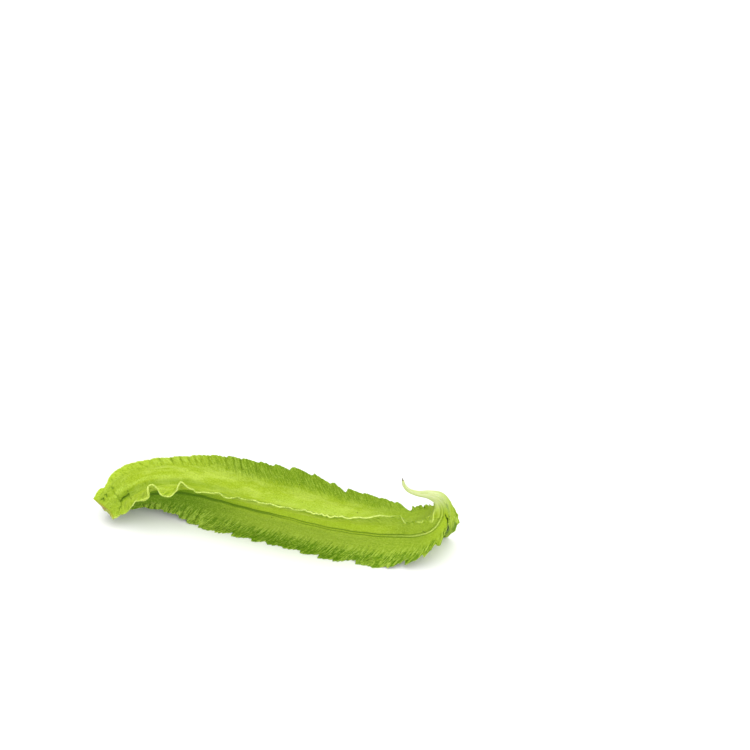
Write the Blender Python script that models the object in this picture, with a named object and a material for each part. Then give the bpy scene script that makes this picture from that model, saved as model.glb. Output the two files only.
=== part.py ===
"""A winged bean pod as picked, lying on a table, 20 cm long from its cut stem end to the tip of its beak.

The pod grew as one piece, so it is one solid: a four-sided body with a thin lobed wing along each corner,
lofted along a curved line that ends in a hooked beak. Sizes in the tables are in millimetres.
"""

import math

import bmesh
import bpy
import numpy as np

MM = 0.001

# The line through the middle of the pod: x along it, y away from the viewer, z up from the table.
SPINE = np.array([
    (-80.6, -8.6, 8.4), (-77.4, -4.4, 9.6), (-73.2, -0.4, 11.0), (-65.6, 3.3, 12.9), (-56.5, 5.7, 14.0),
    (-46.5, 7.7, 14.1), (-36.5, 7.7, 13.9), (-26.5, 5.9, 13.8), (-16.0, 3.6, 13.8), (-6.0, 1.6, 13.8),
    (4.0, 0.0, 13.8), (13.5, -1.4, 13.7), (23.0, -2.5, 13.6), (33.0, -3.5, 13.5), (42.5, -4.2, 13.6),
    (52.0, -4.4, 13.7), (61.0, -3.6, 13.8), (68.0, -2.6, 14.5), (74.4, -1.4, 16.8), (78.4, -0.2, 21.0),
    (79.6, 1.0, 26.2), (77.8, 1.8, 30.7), (72.9, 1.8, 32.5), (68.2, 1.4, 32.7), (63.9, 1.2, 34.2),
    (61.7, 1.2, 37.0), (60.9, 1.6, 40.0)])
UPRIGHT_POINT = 8  # where the section's own "up" is the table's
BOX_CENTRE = (1.899, 1.938)  # middle of the finished pod's box, moved onto the origin

# Distance from the middle line to a face, and from it to a corner as a share of that.
BODY_HALF = [(0, 3.0), (4, 3.6), (10, 4.4), (20, 5.0), (40, 5.4), (65, 5.6), (105, 5.6), (135, 5.3),
             (151, 4.9), (163, 4.5), (171, 4.0), (175, 3.4), (180, 2.6), (184, 1.9), (188, 1.35),
             (192, 1.05), (197, 0.8), (202, 0.5)]
CORNER_SHARE = [(0, 1.35), (15, 1.42), (165, 1.42), (180, 1.15), (187, 1.08), (203, 1.08)]

# Each wing: distance along the pod, length, direction in degrees (0 away from the viewer, 90 up),
# bend over its length in degrees, and how far a ruffle carries its edge sideways.
WINGS = {
    "front_top": [
        (0, 2.0, 190, 0, 0), (5, 3.4, 188, 0, 1.0), (10, 4.8, 184, 0, 1.4), (14, 5.6, 179, 0, 0.6),
        (17, 6.2, 173, 0, -1.4), (20, 7.2, 166, 0, -2.2), (23, 8.6, 159, 0, -1.6), (26, 9.2, 152, 0, -1.6),
        (29.5, 8.8, 149, 0, -3.4), (33, 8.6, 148, 0, -2.0), (37, 9.4, 148, 0, 2.4), (40, 9.2, 147, 0, 2.6),
        (43.5, 8.4, 146, 0, 0.4), (46.5, 8.5, 145, 0, -3.4), (50, 8.8, 145, 0, -1.8), (54, 9.0, 144, 0, -0.5),
        (60, 9.0, 141, 0, 0),
        (68, 9.0, 137, 0, -0.8), (73, 9.0, 136, 0, 0.6), (79, 9.0, 134, 0, -0.4), (90, 9.0, 131, 0, 0),
        (103, 9.0, 129, 0, 0.3), (113, 9.0, 130, 0, -0.3), (123, 8.6, 126, 0, 0), (135, 8.2, 119, 0, 0.4),
        (144, 7.8, 112, 0, -0.4), (150, 6.8, 108, 0, 0.4), (153, 5.2, 114, 0, -1.1), (156, 4.8, 116, 0, 0.6),
        (160, 4.4, 118, 0, -0.9), (163, 3.4, 119, 0, 0.6), (166, 2.8, 120, 0, -0.5), (169, 2.0, 120, 0, 0.2),
        (174, 1.0, 120, 0, 0), (180, 0.4, 118, 0, 0), (187, 0.2, 118, 0, 0), (203, 0.1, 118, 0, 0)],
    "back_top": [
        (0, 0.8, 62, 0, 0), (6, 1.8, 58, 0, 0), (13, 4.6, 54, 0, 0), (23, 5.2, 52, 0, 0), (42, 5.6, 50, 0, 0),
        (52, 7.4, 50, 0, 0), (63, 9.4, 50, 0, 0), (84, 11.2, 50, 0, 0), (103, 12.3, 50, 0, 0),
        (113, 10.3, 50, 0, 0), (123, 8.2, 48, 0, 0), (142, 6.3, 42, 0, 0), (150, 4.8, 36, 0, 0.5),
        (154, 2.6, 30, 0, -0.4), (157, 4.8, 28, 0, 1.0), (160, 4.8, 28, 0, -0.6), (163, 4.4, 28, 0, 0.6),
        (166, 3.8, 28, 0, -0.4), (168.5, 2.2, 28, 0, 0), (171, 1.4, 28, 0, 0), (175, 0.8, 28, 0, 0),
        (181, 0.4, 28, 0, 0), (187, 0.2, 28, 0, 0), (203, 0.1, 28, 0, 0)],
    "back_bottom": [
        (0, 1.0, 300, 0, 0), (10, 3.5, 303, 0, 0), (22, 7.0, 306, 0, 0), (35, 10.5, 308, 0, 0),
        (55, 12.4, 308, 0, 0), (75, 12.4, 308, 0, 0), (115, 12.0, 308, 0, 0), (140, 10.5, 304, 0, 0),
        (152, 9.4, 300, 0, 0), (158, 10.2, 296, 0, 0.5), (162, 11.4, 293, 0, -0.5), (165, 11.8, 292, 0, 0.5),
        (167, 10.8, 292, 0, 0), (169, 7.8, 292, 0, -0.3), (171, 4.6, 292, 0, 0), (174, 2.0, 293, 0, 0),
        (178, 0.9, 296, 0, 0), (184, 0.3, 298, 0, 0), (203, 0.1, 298, 0, 0)],
    "front_bottom": [
        (0, 1.0, 232, 0, 0), (10, 2.0, 230, 0, 0), (22, 3.2, 228, 0, 0), (29, 4.6, 226, 0, 0.4),
        (38, 7.0, 226, 0, -0.4), (47, 9.6, 228, 0, 0.3), (56, 11.4, 231, 0, 0), (65, 12.4, 235, 0, 0),
        (76, 12.0, 238, 0, 0), (86, 11.8, 239, 0, 0), (103, 11.2, 237, 0, 0), (123, 12.0, 233, 0, 0),
        (135, 11.5, 228, 5, 0), (147, 11.2, 221, 10, 0), (155, 9.6, 214, 8, 0), (160, 7.2, 210, 0, 0),
        (164, 4.6, 208, 0, 0), (168, 2.6, 208, 0, 0), (173, 1.2, 208, 0, 0), (179, 0.5, 208, 0, 0),
        (186, 0.2, 208, 0, 0), (203, 0.1, 208, 0, 0)],
}

# Where a wing's edge is notched between two lobes, and how deep.
LOBES = {
    "front_top": [
        (6 + 7.9 * i + 1.6 * math.sin(2.3 * i), 0.7 + 0.3 * math.sin(1.7 * i)) for i in range(22)],
    "back_top": [
        (8, 0.3), (17, 0.4), (28.4, 0.5), (37, 0.4), (45, 0.5), (54, 0.4), (62, 0.6), (70, 0.6), (79, 0.7),
        (87, 0.9), (95.6, 1.5), (106.5, 1.6), (115.5, 1.3), (122.6, 2.3), (131, 0.6), (139.6, 0.7),
        (147, 0.8), (154.3, 2.0), (159.4, 0.8), (163.5, 1.0), (168, 1.2), (172, 0.4)],
    "back_bottom": [
        (5 + 7.7 * i + 1.6 * math.sin(1.9 * i), 1.5 + 0.6 * math.sin(2.9 * i)) for i in range(22)],
    "front_bottom": [
        (12, 0.3), (22, 0.5), (32, 0.8), (42, 1.2), (48.5, 1.2), (57, 1.4), (66, 0.8), (74.3, 2.0),
        (84.2, 1.4), (90.9, 1.4), (99, 0.6), (107.9, 1.3), (116.9, 1.8), (124, 0.7), (133.4, 1.9),
        (141, 0.7), (148, 0.8), (154.3, 2.2), (159, 1.2), (165.2, 1.6), (172, 0.4)],
}
LOBE_RISE = 0.95  # from the bottom of a notch to the tip of the lobe after it
LOBE_FALL = 1.5  # how a lobe draws in behind its tip: 1 straight, more for a rounder lobe
LOBE_FROM = 0.3  # share of the wing's length where its lobes begin to show
LOBE_SHARE = 0.35  # the deepest notch, as a share of the wing's length

WING_STEPS = (0.0, 0.4, 0.78, 1.0)  # shares of a wing's length where the loft has points
HALF_THICK = (1.1, 0.62, 0.48, 0.42)  # half the wing's thickness there
THIN_IN_BEAK = 0.26  # and at most this share of the body's half
TABLE_SINK = 0.8  # how much of its half thickness stays under a wing that lies on the table
RING_GAP = 1.95  # from one section of the loft to the next
WAVE_PITCH, WAVE = 8.0, 0.045  # sideways wave of a wing's edge, as a share of its length
WAVE_TURN = 2.0  # how far the wave is shifted from one wing to the next, in radians
RUFFLE_GROWTH = 1.6  # a ruffle grows from the body outwards as the share of the length to this power
LEAN = 0.45  # how far the wings' veins and lobes lean back towards the stem
LEAN_STARTS, LEAN_ENDS, LEAN_EASE = 2.0, 176.0, 16.0
TABLE_PRESS = 0.6  # sideways spread of a wing's edge for each unit that the table pushes it up
CHANNEL = 0.9  # strength of the hollow between two wings, as a share of the body's half
GROOVE_ASIDE, CORD_RISE, GROOVE = 0.9, 0.05, 0.35  # a seam's grooves: place beside its cord, cord rise, depth
SEAM_FADES = (2.0, 5.0)  # the seam fades out where the body's half is between these
SEAM_IN_BEAK = 0.1  # and its lines keep this share of the body's half from each other
FACE_SHARES = (0.28, 0.72)  # points on the plain faces
SEAM_SHARES = (0.24, 0.43, 0.5, 0.57, 0.76)  # points on the two faces that carry a seam
BEAK_STARTS = 184.0  # past here the wings are only ridges and a section has fewer points

POD_GREEN = (0.42, 0.62, 0.06, 1.0)
POD_ROUGHNESS = 0.5


def clear_scene():
    """Remove every object of the file that the script starts in."""
    for obj in list(bpy.data.objects):
        bpy.data.objects.remove(obj)


def read_table(table, column, along):
    """Smooth value of a table's column at the distances along the pod, with no overshoot between its rows."""
    rows = np.array(table, float)
    at, value = rows[:, 0], rows[:, column]
    gap = np.diff(at)
    slope = np.diff(value) / gap
    tangent = np.zeros_like(value)
    turning = slope[:-1] * slope[1:] <= 0
    mean = (slope[:-1] * gap[1:] + slope[1:] * gap[:-1]) / (gap[:-1] + gap[1:])
    tangent[1:-1] = np.where(turning, 0, mean)
    along = np.clip(along, at[0], at[-1])
    i = np.clip(np.searchsorted(at, along, side="right") - 1, 0, len(at) - 2)
    t = (along - at[i]) / gap[i]
    return ((2 * t**3 - 3 * t**2 + 1) * value[i] + (t**3 - 2 * t**2 + t) * gap[i] * tangent[i]
            + (3 * t**2 - 2 * t**3) * value[i + 1] + (t**3 - t**2) * gap[i] * tangent[i + 1])


def ease(x):
    """0 below 0, 1 above 1, and a smooth step between."""
    x = np.clip(x, 0, 1)
    return x * x * (3 - 2 * x)


class Spine:
    """The pod's middle line, with the section's own back and up directions at each distance along it."""

    def __init__(self, points, upright, steps=40):
        ends = np.vstack([2 * points[0] - points[1], points, 2 * points[-1] - points[-2]])
        t = np.linspace(0, 1, steps, endpoint=False)[:, None]
        pieces = [
            0.5 * (2 * b + (c - a) * t + (2 * a - 5 * b + 4 * c - d) * t**2 + (3 * b - a - 3 * c + d) * t**3)
            for a, b, c, d in zip(ends, ends[1:], ends[2:], ends[3:])]
        self.line = np.vstack(pieces + [points[-1:]])
        self.along = np.concatenate([[0], np.cumsum(np.linalg.norm(np.diff(self.line, axis=0), axis=1))])
        self.length = self.along[-1]
        ahead = np.gradient(self.line, axis=0)
        self.ahead = ahead / np.linalg.norm(ahead, axis=1)[:, None]
        self.up = self.carried_up(upright * steps)
        self.back = np.cross(self.up, self.ahead)

    def carried_up(self, start):
        """The up direction, carried both ways from the upright point without twisting."""
        up = np.zeros_like(self.line)
        up[start] = self.square_to(np.array([0.0, 0.0, 1.0]), start)
        for i in range(start + 1, len(up)):
            up[i] = self.square_to(up[i - 1], i)
        for i in range(start - 1, -1, -1):
            up[i] = self.square_to(up[i + 1], i)
        return up

    def square_to(self, vector, i):
        """The vector made square to the line at point i, of length 1."""
        vector = vector - self.ahead[i] * (vector @ self.ahead[i])
        return vector / np.linalg.norm(vector)

    def at(self, along):
        """Point, back and up directions at the distances along the line."""
        return [np.stack([np.interp(along, self.along, rows[:, n]) for n in range(3)], -1)
                for rows in (self.line, self.back, self.up)]


def lobe_cut(along, wing, length):
    """How far the wing's edge is drawn in: not at all at a lobe's tip, most in the notch before the next."""
    at, depth = np.array(list(LOBES.values())[wing]).T
    i = np.clip(np.searchsorted(at, along, side="right") - 1, 0, len(at) - 2)
    past = along - at[i]
    rise = depth[i] * (1 - ease(past / LOBE_RISE))
    fall = depth[i + 1] * np.clip((past - LOBE_RISE) / (at[i + 1] - at[i] - LOBE_RISE), 0, 1) ** LOBE_FALL
    inside = (along > at[0]) & (along < at[-1])
    cut = np.where(inside, np.where(past < LOBE_RISE, rise, fall), 0)
    return np.minimum(cut, LOBE_SHARE * length)


def wing_sheet(spine, wing, along, steps):
    """Middle surface of a wing, as points for each section and each share of the wing's length."""
    table = list(WINGS.values())[wing]
    along, share = np.meshgrid(along, steps, indexing="ij")
    length = read_table(table, 1, along)
    reach = share * (length - lobe_cut(along, wing, length) * ease((share - LOBE_FROM) / (1 - LOBE_FROM)))
    eased = ease((along - LEAN_STARTS) / LEAN_EASE) * ease((LEAN_ENDS - along) / LEAN_EASE)
    place = along - LEAN * eased * reach
    aim = np.radians(read_table(table, 2, place))
    bend = np.radians(read_table(table, 3, place)) * share / 2
    wave = WAVE * length * np.sin(2 * np.pi * along / WAVE_PITCH + WAVE_TURN * wing)
    ruffle = (read_table(table, 4, along) + wave * eased) * share**RUFFLE_GROWTH
    corner = read_table(BODY_HALF, 1, place) * read_table(CORNER_SHARE, 1, place)
    back = corner * np.cos(aim) + reach * np.cos(aim + bend) - ruffle * np.sin(aim)
    up = corner * np.sin(aim) + reach * np.sin(aim + bend) + ruffle * np.cos(aim)
    middle, back_way, up_way = spine.at(place)
    return middle + back_way * back[..., None] + up_way * up[..., None]


def press_on_table(sheet, half_thick, outward):
    """Keep a wing's middle surface above the table, and spread outwards what the table pushes up."""
    pushed = np.maximum(half_thick - sheet[..., 2], 0)
    sheet[..., 2] += pushed
    sheet[..., 1] += outward * TABLE_PRESS * pushed
    return sheet


def face_curve(start, start_way, end, end_way, shares):
    """Points of the hollow face from one wing's foot to the next, in each section."""
    points = []
    for t in shares:
        points.append((2 * t**3 - 3 * t**2 + 1) * start + (t**3 - 2 * t**2 + t) * start_way
                      + (3 * t**2 - 2 * t**3) * end + (t**3 - t**2) * end_way)
    return np.stack(points, 1)


def unit(vectors):
    """The vectors at length 1."""
    return vectors / np.linalg.norm(vectors, axis=-1, keepdims=True)


def seam_relief(face, spine_points, half):
    """Press two grooves into a face with a cord between them, fading out towards the beak."""
    outward = unit(face[:, 2] - spine_points)
    across = unit(face[:, 3] - face[:, 1])
    faint, full = SEAM_FADES
    size = np.clip((half - faint) / (full - faint), 0, 1)[:, None]
    middle = face[:, 2].copy()
    aside = across * (GROOVE_ASIDE * size + SEAM_IN_BEAK * (1 - size) * half[:, None])
    face[:, 1] = middle - aside - outward * GROOVE * size
    face[:, 3] = middle + aside - outward * GROOVE * size
    face[:, 2] = middle + outward * CORD_RISE * size
    return face


def pod_sections(spine, along):
    """All sections of the loft: points by section and place round it, wing by wing."""
    half = read_table(BODY_HALF, 1, along)
    size = np.minimum(np.array(HALF_THICK)[None, :], THIN_IN_BEAK * half[:, None])
    sheets, sides = [], []
    for wing in range(4):
        sheet = wing_sheet(spine, wing, along, WING_STEPS)
        outward = {2: 1.0, 3: -1.0}.get(wing, 0.0)
        sheet = press_on_table(sheet, size * TABLE_SINK, outward)
        normal = unit(np.cross(np.gradient(sheet, axis=0), np.gradient(sheet, axis=1)))
        sheets.append(sheet)
        sides.append((sheet + normal * size[..., None], sheet - normal * size[..., None]))
    middle = spine.at(along)[0]
    strength = CHANNEL * half[:, None]
    columns = []
    for wing in range(4):
        after = (wing + 1) % 4
        near_side, far_side = sides[wing]
        start_way = -unit(sheets[wing][:, 1] - sheets[wing][:, 0]) * strength
        end_way = unit(sheets[after][:, 1] - sheets[after][:, 0]) * strength
        shares = SEAM_SHARES if wing % 2 else FACE_SHARES
        face = face_curve(far_side[:, 0], start_way, sides[after][0][:, 0], end_way, shares)
        if wing % 2:
            face = seam_relief(face, middle, half)
        columns += [near_side, far_side[:, ::-1], face]
    points = np.concatenate(columns, axis=1)
    points[..., 2] = np.maximum(points[..., 2], 0)
    points[..., 0] -= BOX_CENTRE[0]
    points[..., 1] -= BOX_CENTRE[1]
    return points


def beak_columns():
    """For each step round a section, the step that stands for it in the beak."""
    keep = []
    last = len(WING_STEPS) - 1
    for wing in range(4):
        first = len(keep)
        keep += [first] * 2 + [first + last] * (2 * last - 2) + [first + 2 * last + 1] * 2
        count = len(SEAM_SHARES if wing % 2 else FACE_SHARES)
        keep += [len(keep) + count // 2] * count
    return keep


def falling_columns():
    """For each step round a section, whether it goes from a wing's edge back to the body."""
    falling = []
    for wing in range(4):
        shares = SEAM_SHARES if wing % 2 else FACE_SHARES
        falling += [False] * len(WING_STEPS) + [True] * len(WING_STEPS) + [False] * len(shares)
    return falling


def loft(sections, along, tip):
    """Join the sections into one closed mesh, with a flat cut end and a pointed beak.

    A wing's two sides are split along the same diagonals, so that they never cross where it waves.
    """
    mesh = bmesh.new()
    rings = []
    every, few = list(range(len(sections[0]))), beak_columns()
    for section, distance in zip(sections, along):
        keep = few if distance > BEAK_STARTS else every
        points = {j: mesh.verts.new(section[j] * MM) for j in sorted(set(keep))}
        rings.append([points[j] for j in keep])
    apex = mesh.verts.new(tip * MM)
    rings.append([apex] * len(sections[0]))
    falling = falling_columns()
    for ring, following in zip(rings, rings[1:]):
        for j, falls in enumerate(falling):
            k = (j + 1) % len(falling)
            if falls:
                corners = [(ring[j], ring[k], following[j]), (ring[k], following[k], following[j])]
            else:
                corners = [(ring[j], ring[k], following[k]), (ring[j], following[k], following[j])]
            for corner in corners:
                if len(set(corner)) == 3:
                    mesh.faces.new(corner)
    cut_end = mesh.faces.new(rings[0])
    bmesh.ops.triangulate(mesh, faces=[cut_end])
    bmesh.ops.recalc_face_normals(mesh, faces=mesh.faces)
    return mesh


def pod_material():
    """Fresh yellow-green skin with a soft wax shine."""
    material = bpy.data.materials.new("pod_skin")
    material.use_nodes = True
    shader = material.node_tree.nodes["Principled BSDF"]
    shader.inputs["Base Color"].default_value = POD_GREEN
    shader.inputs["Roughness"].default_value = POD_ROUGHNESS
    shader.inputs["Metallic"].default_value = 0.0
    material.diffuse_color = POD_GREEN
    return material


def build_pod(collection):
    """Make the pod and put it in the collection."""
    spine = Spine(SPINE, UPRIGHT_POINT)
    last = spine.length - RING_GAP
    along = np.linspace(0, last, round(last / RING_GAP) + 1)
    sections = pod_sections(spine, along)
    tip = spine.line[-1] - np.array([*BOX_CENTRE, 0.0])
    mesh = loft(sections, along, tip)
    data = bpy.data.meshes.new("pod")
    mesh.to_mesh(data)
    mesh.free()
    data.materials.append(pod_material())
    data.shade_smooth()
    data.set_sharp_from_angle(angle=math.radians(50))
    pod = bpy.data.objects.new("pod", data)
    collection.objects.link(pod)
    return pod


def main():
    """Build the whole object in its own collection."""
    clear_scene()
    collection = bpy.data.collections.new("winged_bean")
    bpy.context.scene.collection.children.link(collection)
    build_pod(collection)


main()
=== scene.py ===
"""Looks of a fresh winged bean pod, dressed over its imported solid.

The pod grew as one piece. Its skin is a fine loft round the same middle line, body and four wings as the
solid, with the veins, teeth, crimps, seams and seeds that the solid is too coarse for. A dried scar closes
its cut stem end, and the dry rest of the flower ends its beak. Lengths are in millimetres and angles in
degrees, unless a name says otherwise.
"""

import logging
import math
from dataclasses import dataclass, field
from enum import Enum, IntEnum
from typing import Any

import bpy
import numpy as np
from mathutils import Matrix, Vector


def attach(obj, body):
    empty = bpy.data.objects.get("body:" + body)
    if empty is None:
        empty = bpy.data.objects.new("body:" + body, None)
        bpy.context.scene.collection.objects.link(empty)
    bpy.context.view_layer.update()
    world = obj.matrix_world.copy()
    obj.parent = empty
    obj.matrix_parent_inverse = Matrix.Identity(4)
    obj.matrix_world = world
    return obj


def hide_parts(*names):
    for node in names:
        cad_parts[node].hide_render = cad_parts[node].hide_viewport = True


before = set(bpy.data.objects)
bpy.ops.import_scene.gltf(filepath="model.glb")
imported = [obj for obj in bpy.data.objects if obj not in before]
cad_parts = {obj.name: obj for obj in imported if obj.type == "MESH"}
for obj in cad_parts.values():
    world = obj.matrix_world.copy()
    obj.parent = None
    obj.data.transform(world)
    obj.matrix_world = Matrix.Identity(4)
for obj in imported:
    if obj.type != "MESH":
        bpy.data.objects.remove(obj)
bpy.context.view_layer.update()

LOG = logging.getLogger("winged_bean")
MM = 0.001
END_REACH = 15.0
# Which columns of the dent and crease rows hold their height or depth, and which hold their painted shade.
DENT_HEIGHT, DENT_SHADE = 2, 5
CREASE_DEPTH, CREASE_SHADE = 5, 6
Table = tuple[tuple[float, ...], ...]
Span = tuple[float, float]
Columns = dict[str, np.ndarray]


class Wing(IntEnum):
    """The four wings, in the order that they stand round a section."""

    FRONT_TOP = 0
    BACK_TOP = 1
    BACK_BOTTOM = 2
    FRONT_BOTTOM = 3


class Closing(Enum):
    """How an end of the skin's tube is closed."""

    CUT = "cut"
    POINT = "point"


def ease(x: np.ndarray | float) -> np.ndarray | float:
    """Return 0 below 0, 1 above 1, and a smooth step between."""
    x = np.clip(x, 0, 1)
    return x * x * (3 - 2 * x)


def unit(vectors: np.ndarray) -> np.ndarray:
    """Return the vectors at length 1."""
    return vectors / np.linalg.norm(vectors, axis=-1, keepdims=True)


def bump(x: np.ndarray, middle: float, half_width: float) -> np.ndarray:
    """Return a smooth hump, 1 at the middle and 0 from half_width away."""
    return 1 - ease(np.abs(x - middle) / half_width)


def hermite(t: np.ndarray) -> tuple[np.ndarray, ...]:
    """Return a smooth cubic's weights at t: of its start, the way out of it, its end and the way into it."""
    return 2 * t**3 - 3 * t**2 + 1, t**3 - 2 * t**2 + t, 3 * t**2 - 2 * t**3, t**3 - t**2


def sway(along: np.ndarray, size: float, run: float, start: float = 0.0) -> np.ndarray:
    """Return a swing of a size, which turns by a radian over a run, from a turn at the pod's start."""
    return size * np.sin(along / run + start)


def read_table(table: Table, column: int, along: np.ndarray) -> np.ndarray:
    """Read a column of a table smoothly, with no overshoot between its rows.

    Args:
        table: Rows that start with the distance along the pod.
        column: The column to read.
        along: Distances along the pod, of any shape.

    Returns:
        The column's value at each distance.
    """
    rows = np.array(table, float)
    at, value = rows[:, 0], rows[:, column]
    gap = np.diff(at)
    slope = np.diff(value) / gap
    tangent = np.zeros_like(value)
    turning = slope[:-1] * slope[1:] <= 0
    mean = (slope[:-1] * gap[1:] + slope[1:] * gap[:-1]) / (gap[:-1] + gap[1:])
    tangent[1:-1] = np.where(turning, 0, mean)
    along = np.clip(along, at[0], at[-1])
    i = np.clip(np.searchsorted(at, along, side="right") - 1, 0, len(at) - 2)
    start, leaving, end, arriving = hermite((along - at[i]) / gap[i])
    return (start * value[i] + leaving * gap[i] * tangent[i]
            + end * value[i + 1] + arriving * gap[i] * tangent[i + 1])


def dented(dents: Table, along: np.ndarray, share: np.ndarray, column: int) -> np.ndarray:
    """Add up a list of dents and bulges.

    Args:
        dents: Rows of distance, share, height, half widths in both, and how dark the painted shade at the
            dent's bottom is.
        along: Distances along the pod.
        share: Shares of the width of the wing or face.
        column: DENT_HEIGHT, or the column of painted shade.

    Returns:
        The sum at each point.
    """
    total = np.zeros(np.broadcast(along, share).shape)
    for row in dents:
        total = total + row[column] * bump(along, row[0], row[3]) * bump(share, row[1], row[4])
    return total


def creased(creases: Table, along: np.ndarray, share: np.ndarray, width: np.ndarray,
            column: int) -> np.ndarray:
    """Read how far points lie in the creases of a wing or face.

    Args:
        creases: Rows of distance and share at both ends, half width, depth, and how dark the painted shade in
            the crease is.
        along: Distances along the pod.
        share: Shares of the width of the wing or face.
        width: That width.
        column: CREASE_DEPTH, or the column of painted shade.

    Returns:
        The value of the deepest crease at each point.
    """
    most = np.zeros(np.broadcast(along, share).shape)
    for row in creases:
        from_start = np.stack(np.broadcast_arrays(along - row[0], (share - row[1]) * width), -1)
        run = np.stack(np.broadcast_arrays(row[2] - row[0], (row[3] - row[1]) * width), -1)
        part = np.clip((from_start * run).sum(-1) / (run * run).sum(-1), 0, 1)
        gap = np.linalg.norm(from_start - part[..., None] * run, axis=-1)
        most = np.maximum(most, row[column] * (1 - ease(gap / row[4])))
    return most


@dataclass
class MiddleLine:
    """The line through the middle of the pod, with the section's own back and up directions along it."""

    points: Table = (
        (-80.6, -8.6, 8.4), (-77.4, -4.4, 9.6), (-73.2, -0.4, 11.0), (-65.6, 3.3, 12.9), (-56.5, 5.7, 14.0),
        (-46.5, 7.7, 14.1), (-36.5, 7.7, 13.9), (-26.5, 5.9, 13.8), (-16.0, 3.6, 13.8), (-6.0, 1.6, 13.8),
        (4.0, 0.0, 13.8), (13.5, -1.4, 13.7), (23.0, -2.5, 13.6), (33.0, -3.5, 13.5), (42.5, -4.2, 13.6),
        (52.0, -4.4, 13.7), (61.0, -3.6, 13.8), (68.0, -2.6, 14.5), (74.4, -1.4, 16.8), (78.4, -0.2, 21.0),
        (79.6, 1.0, 26.2), (77.8, 1.8, 30.7), (72.9, 1.8, 32.5), (68.2, 1.4, 32.7), (63.9, 1.2, 34.2),
        (61.7, 1.2, 37.0), (60.9, 1.6, 40.0))
    upright_point: int = 8
    box_centre: tuple[float, float, float] = (1.899, 1.938, 0.0)
    steps: int = 40

    def __post_init__(self) -> None:
        """Work out the line, its distances and its directions."""
        points = np.array(self.points) - np.array(self.box_centre)
        ends = np.vstack([2 * points[0] - points[1], points, 2 * points[-1] - points[-2]])
        t = np.linspace(0, 1, self.steps, endpoint=False)[:, None]
        pieces = [
            0.5 * (2 * b + (c - a) * t + (2 * a - 5 * b + 4 * c - d) * t**2 + (3 * b - a - 3 * c + d) * t**3)
            for a, b, c, d in zip(ends, ends[1:], ends[2:], ends[3:])]
        self.line = np.vstack(pieces + [points[-1:]])
        self.along = np.concatenate([[0], np.cumsum(np.linalg.norm(np.diff(self.line, axis=0), axis=1))])
        self.length = float(self.along[-1])
        self.ahead = unit(np.gradient(self.line, axis=0))
        self.up = self.carried_up(self.upright_point * self.steps)
        self.back = np.cross(self.up, self.ahead)

    def carried_up(self, start: int) -> np.ndarray:
        """Carry the up direction both ways from the upright point, without twisting.

        Args:
            start: The point where up is the table's.

        Returns:
            The up direction at every point of the line.
        """
        up = np.zeros_like(self.line)
        up[start] = self.square_to(np.array([0.0, 0.0, 1.0]), start)
        for i in range(start + 1, len(up)):
            up[i] = self.square_to(up[i - 1], i)
        for i in range(start - 1, -1, -1):
            up[i] = self.square_to(up[i + 1], i)
        return up

    def square_to(self, vector: np.ndarray, i: int) -> np.ndarray:
        """Return the vector made square to the line at point i, of length 1."""
        return unit(vector - self.ahead[i] * (vector @ self.ahead[i]))

    def at(self, along: np.ndarray) -> list[np.ndarray]:
        """Return the point and the back, up and ahead directions at the distances along the line."""
        return [np.stack([np.interp(along, self.along, rows[:, n]) for n in range(3)], -1)
                for rows in (self.line, self.back, self.up, self.ahead)]


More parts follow.
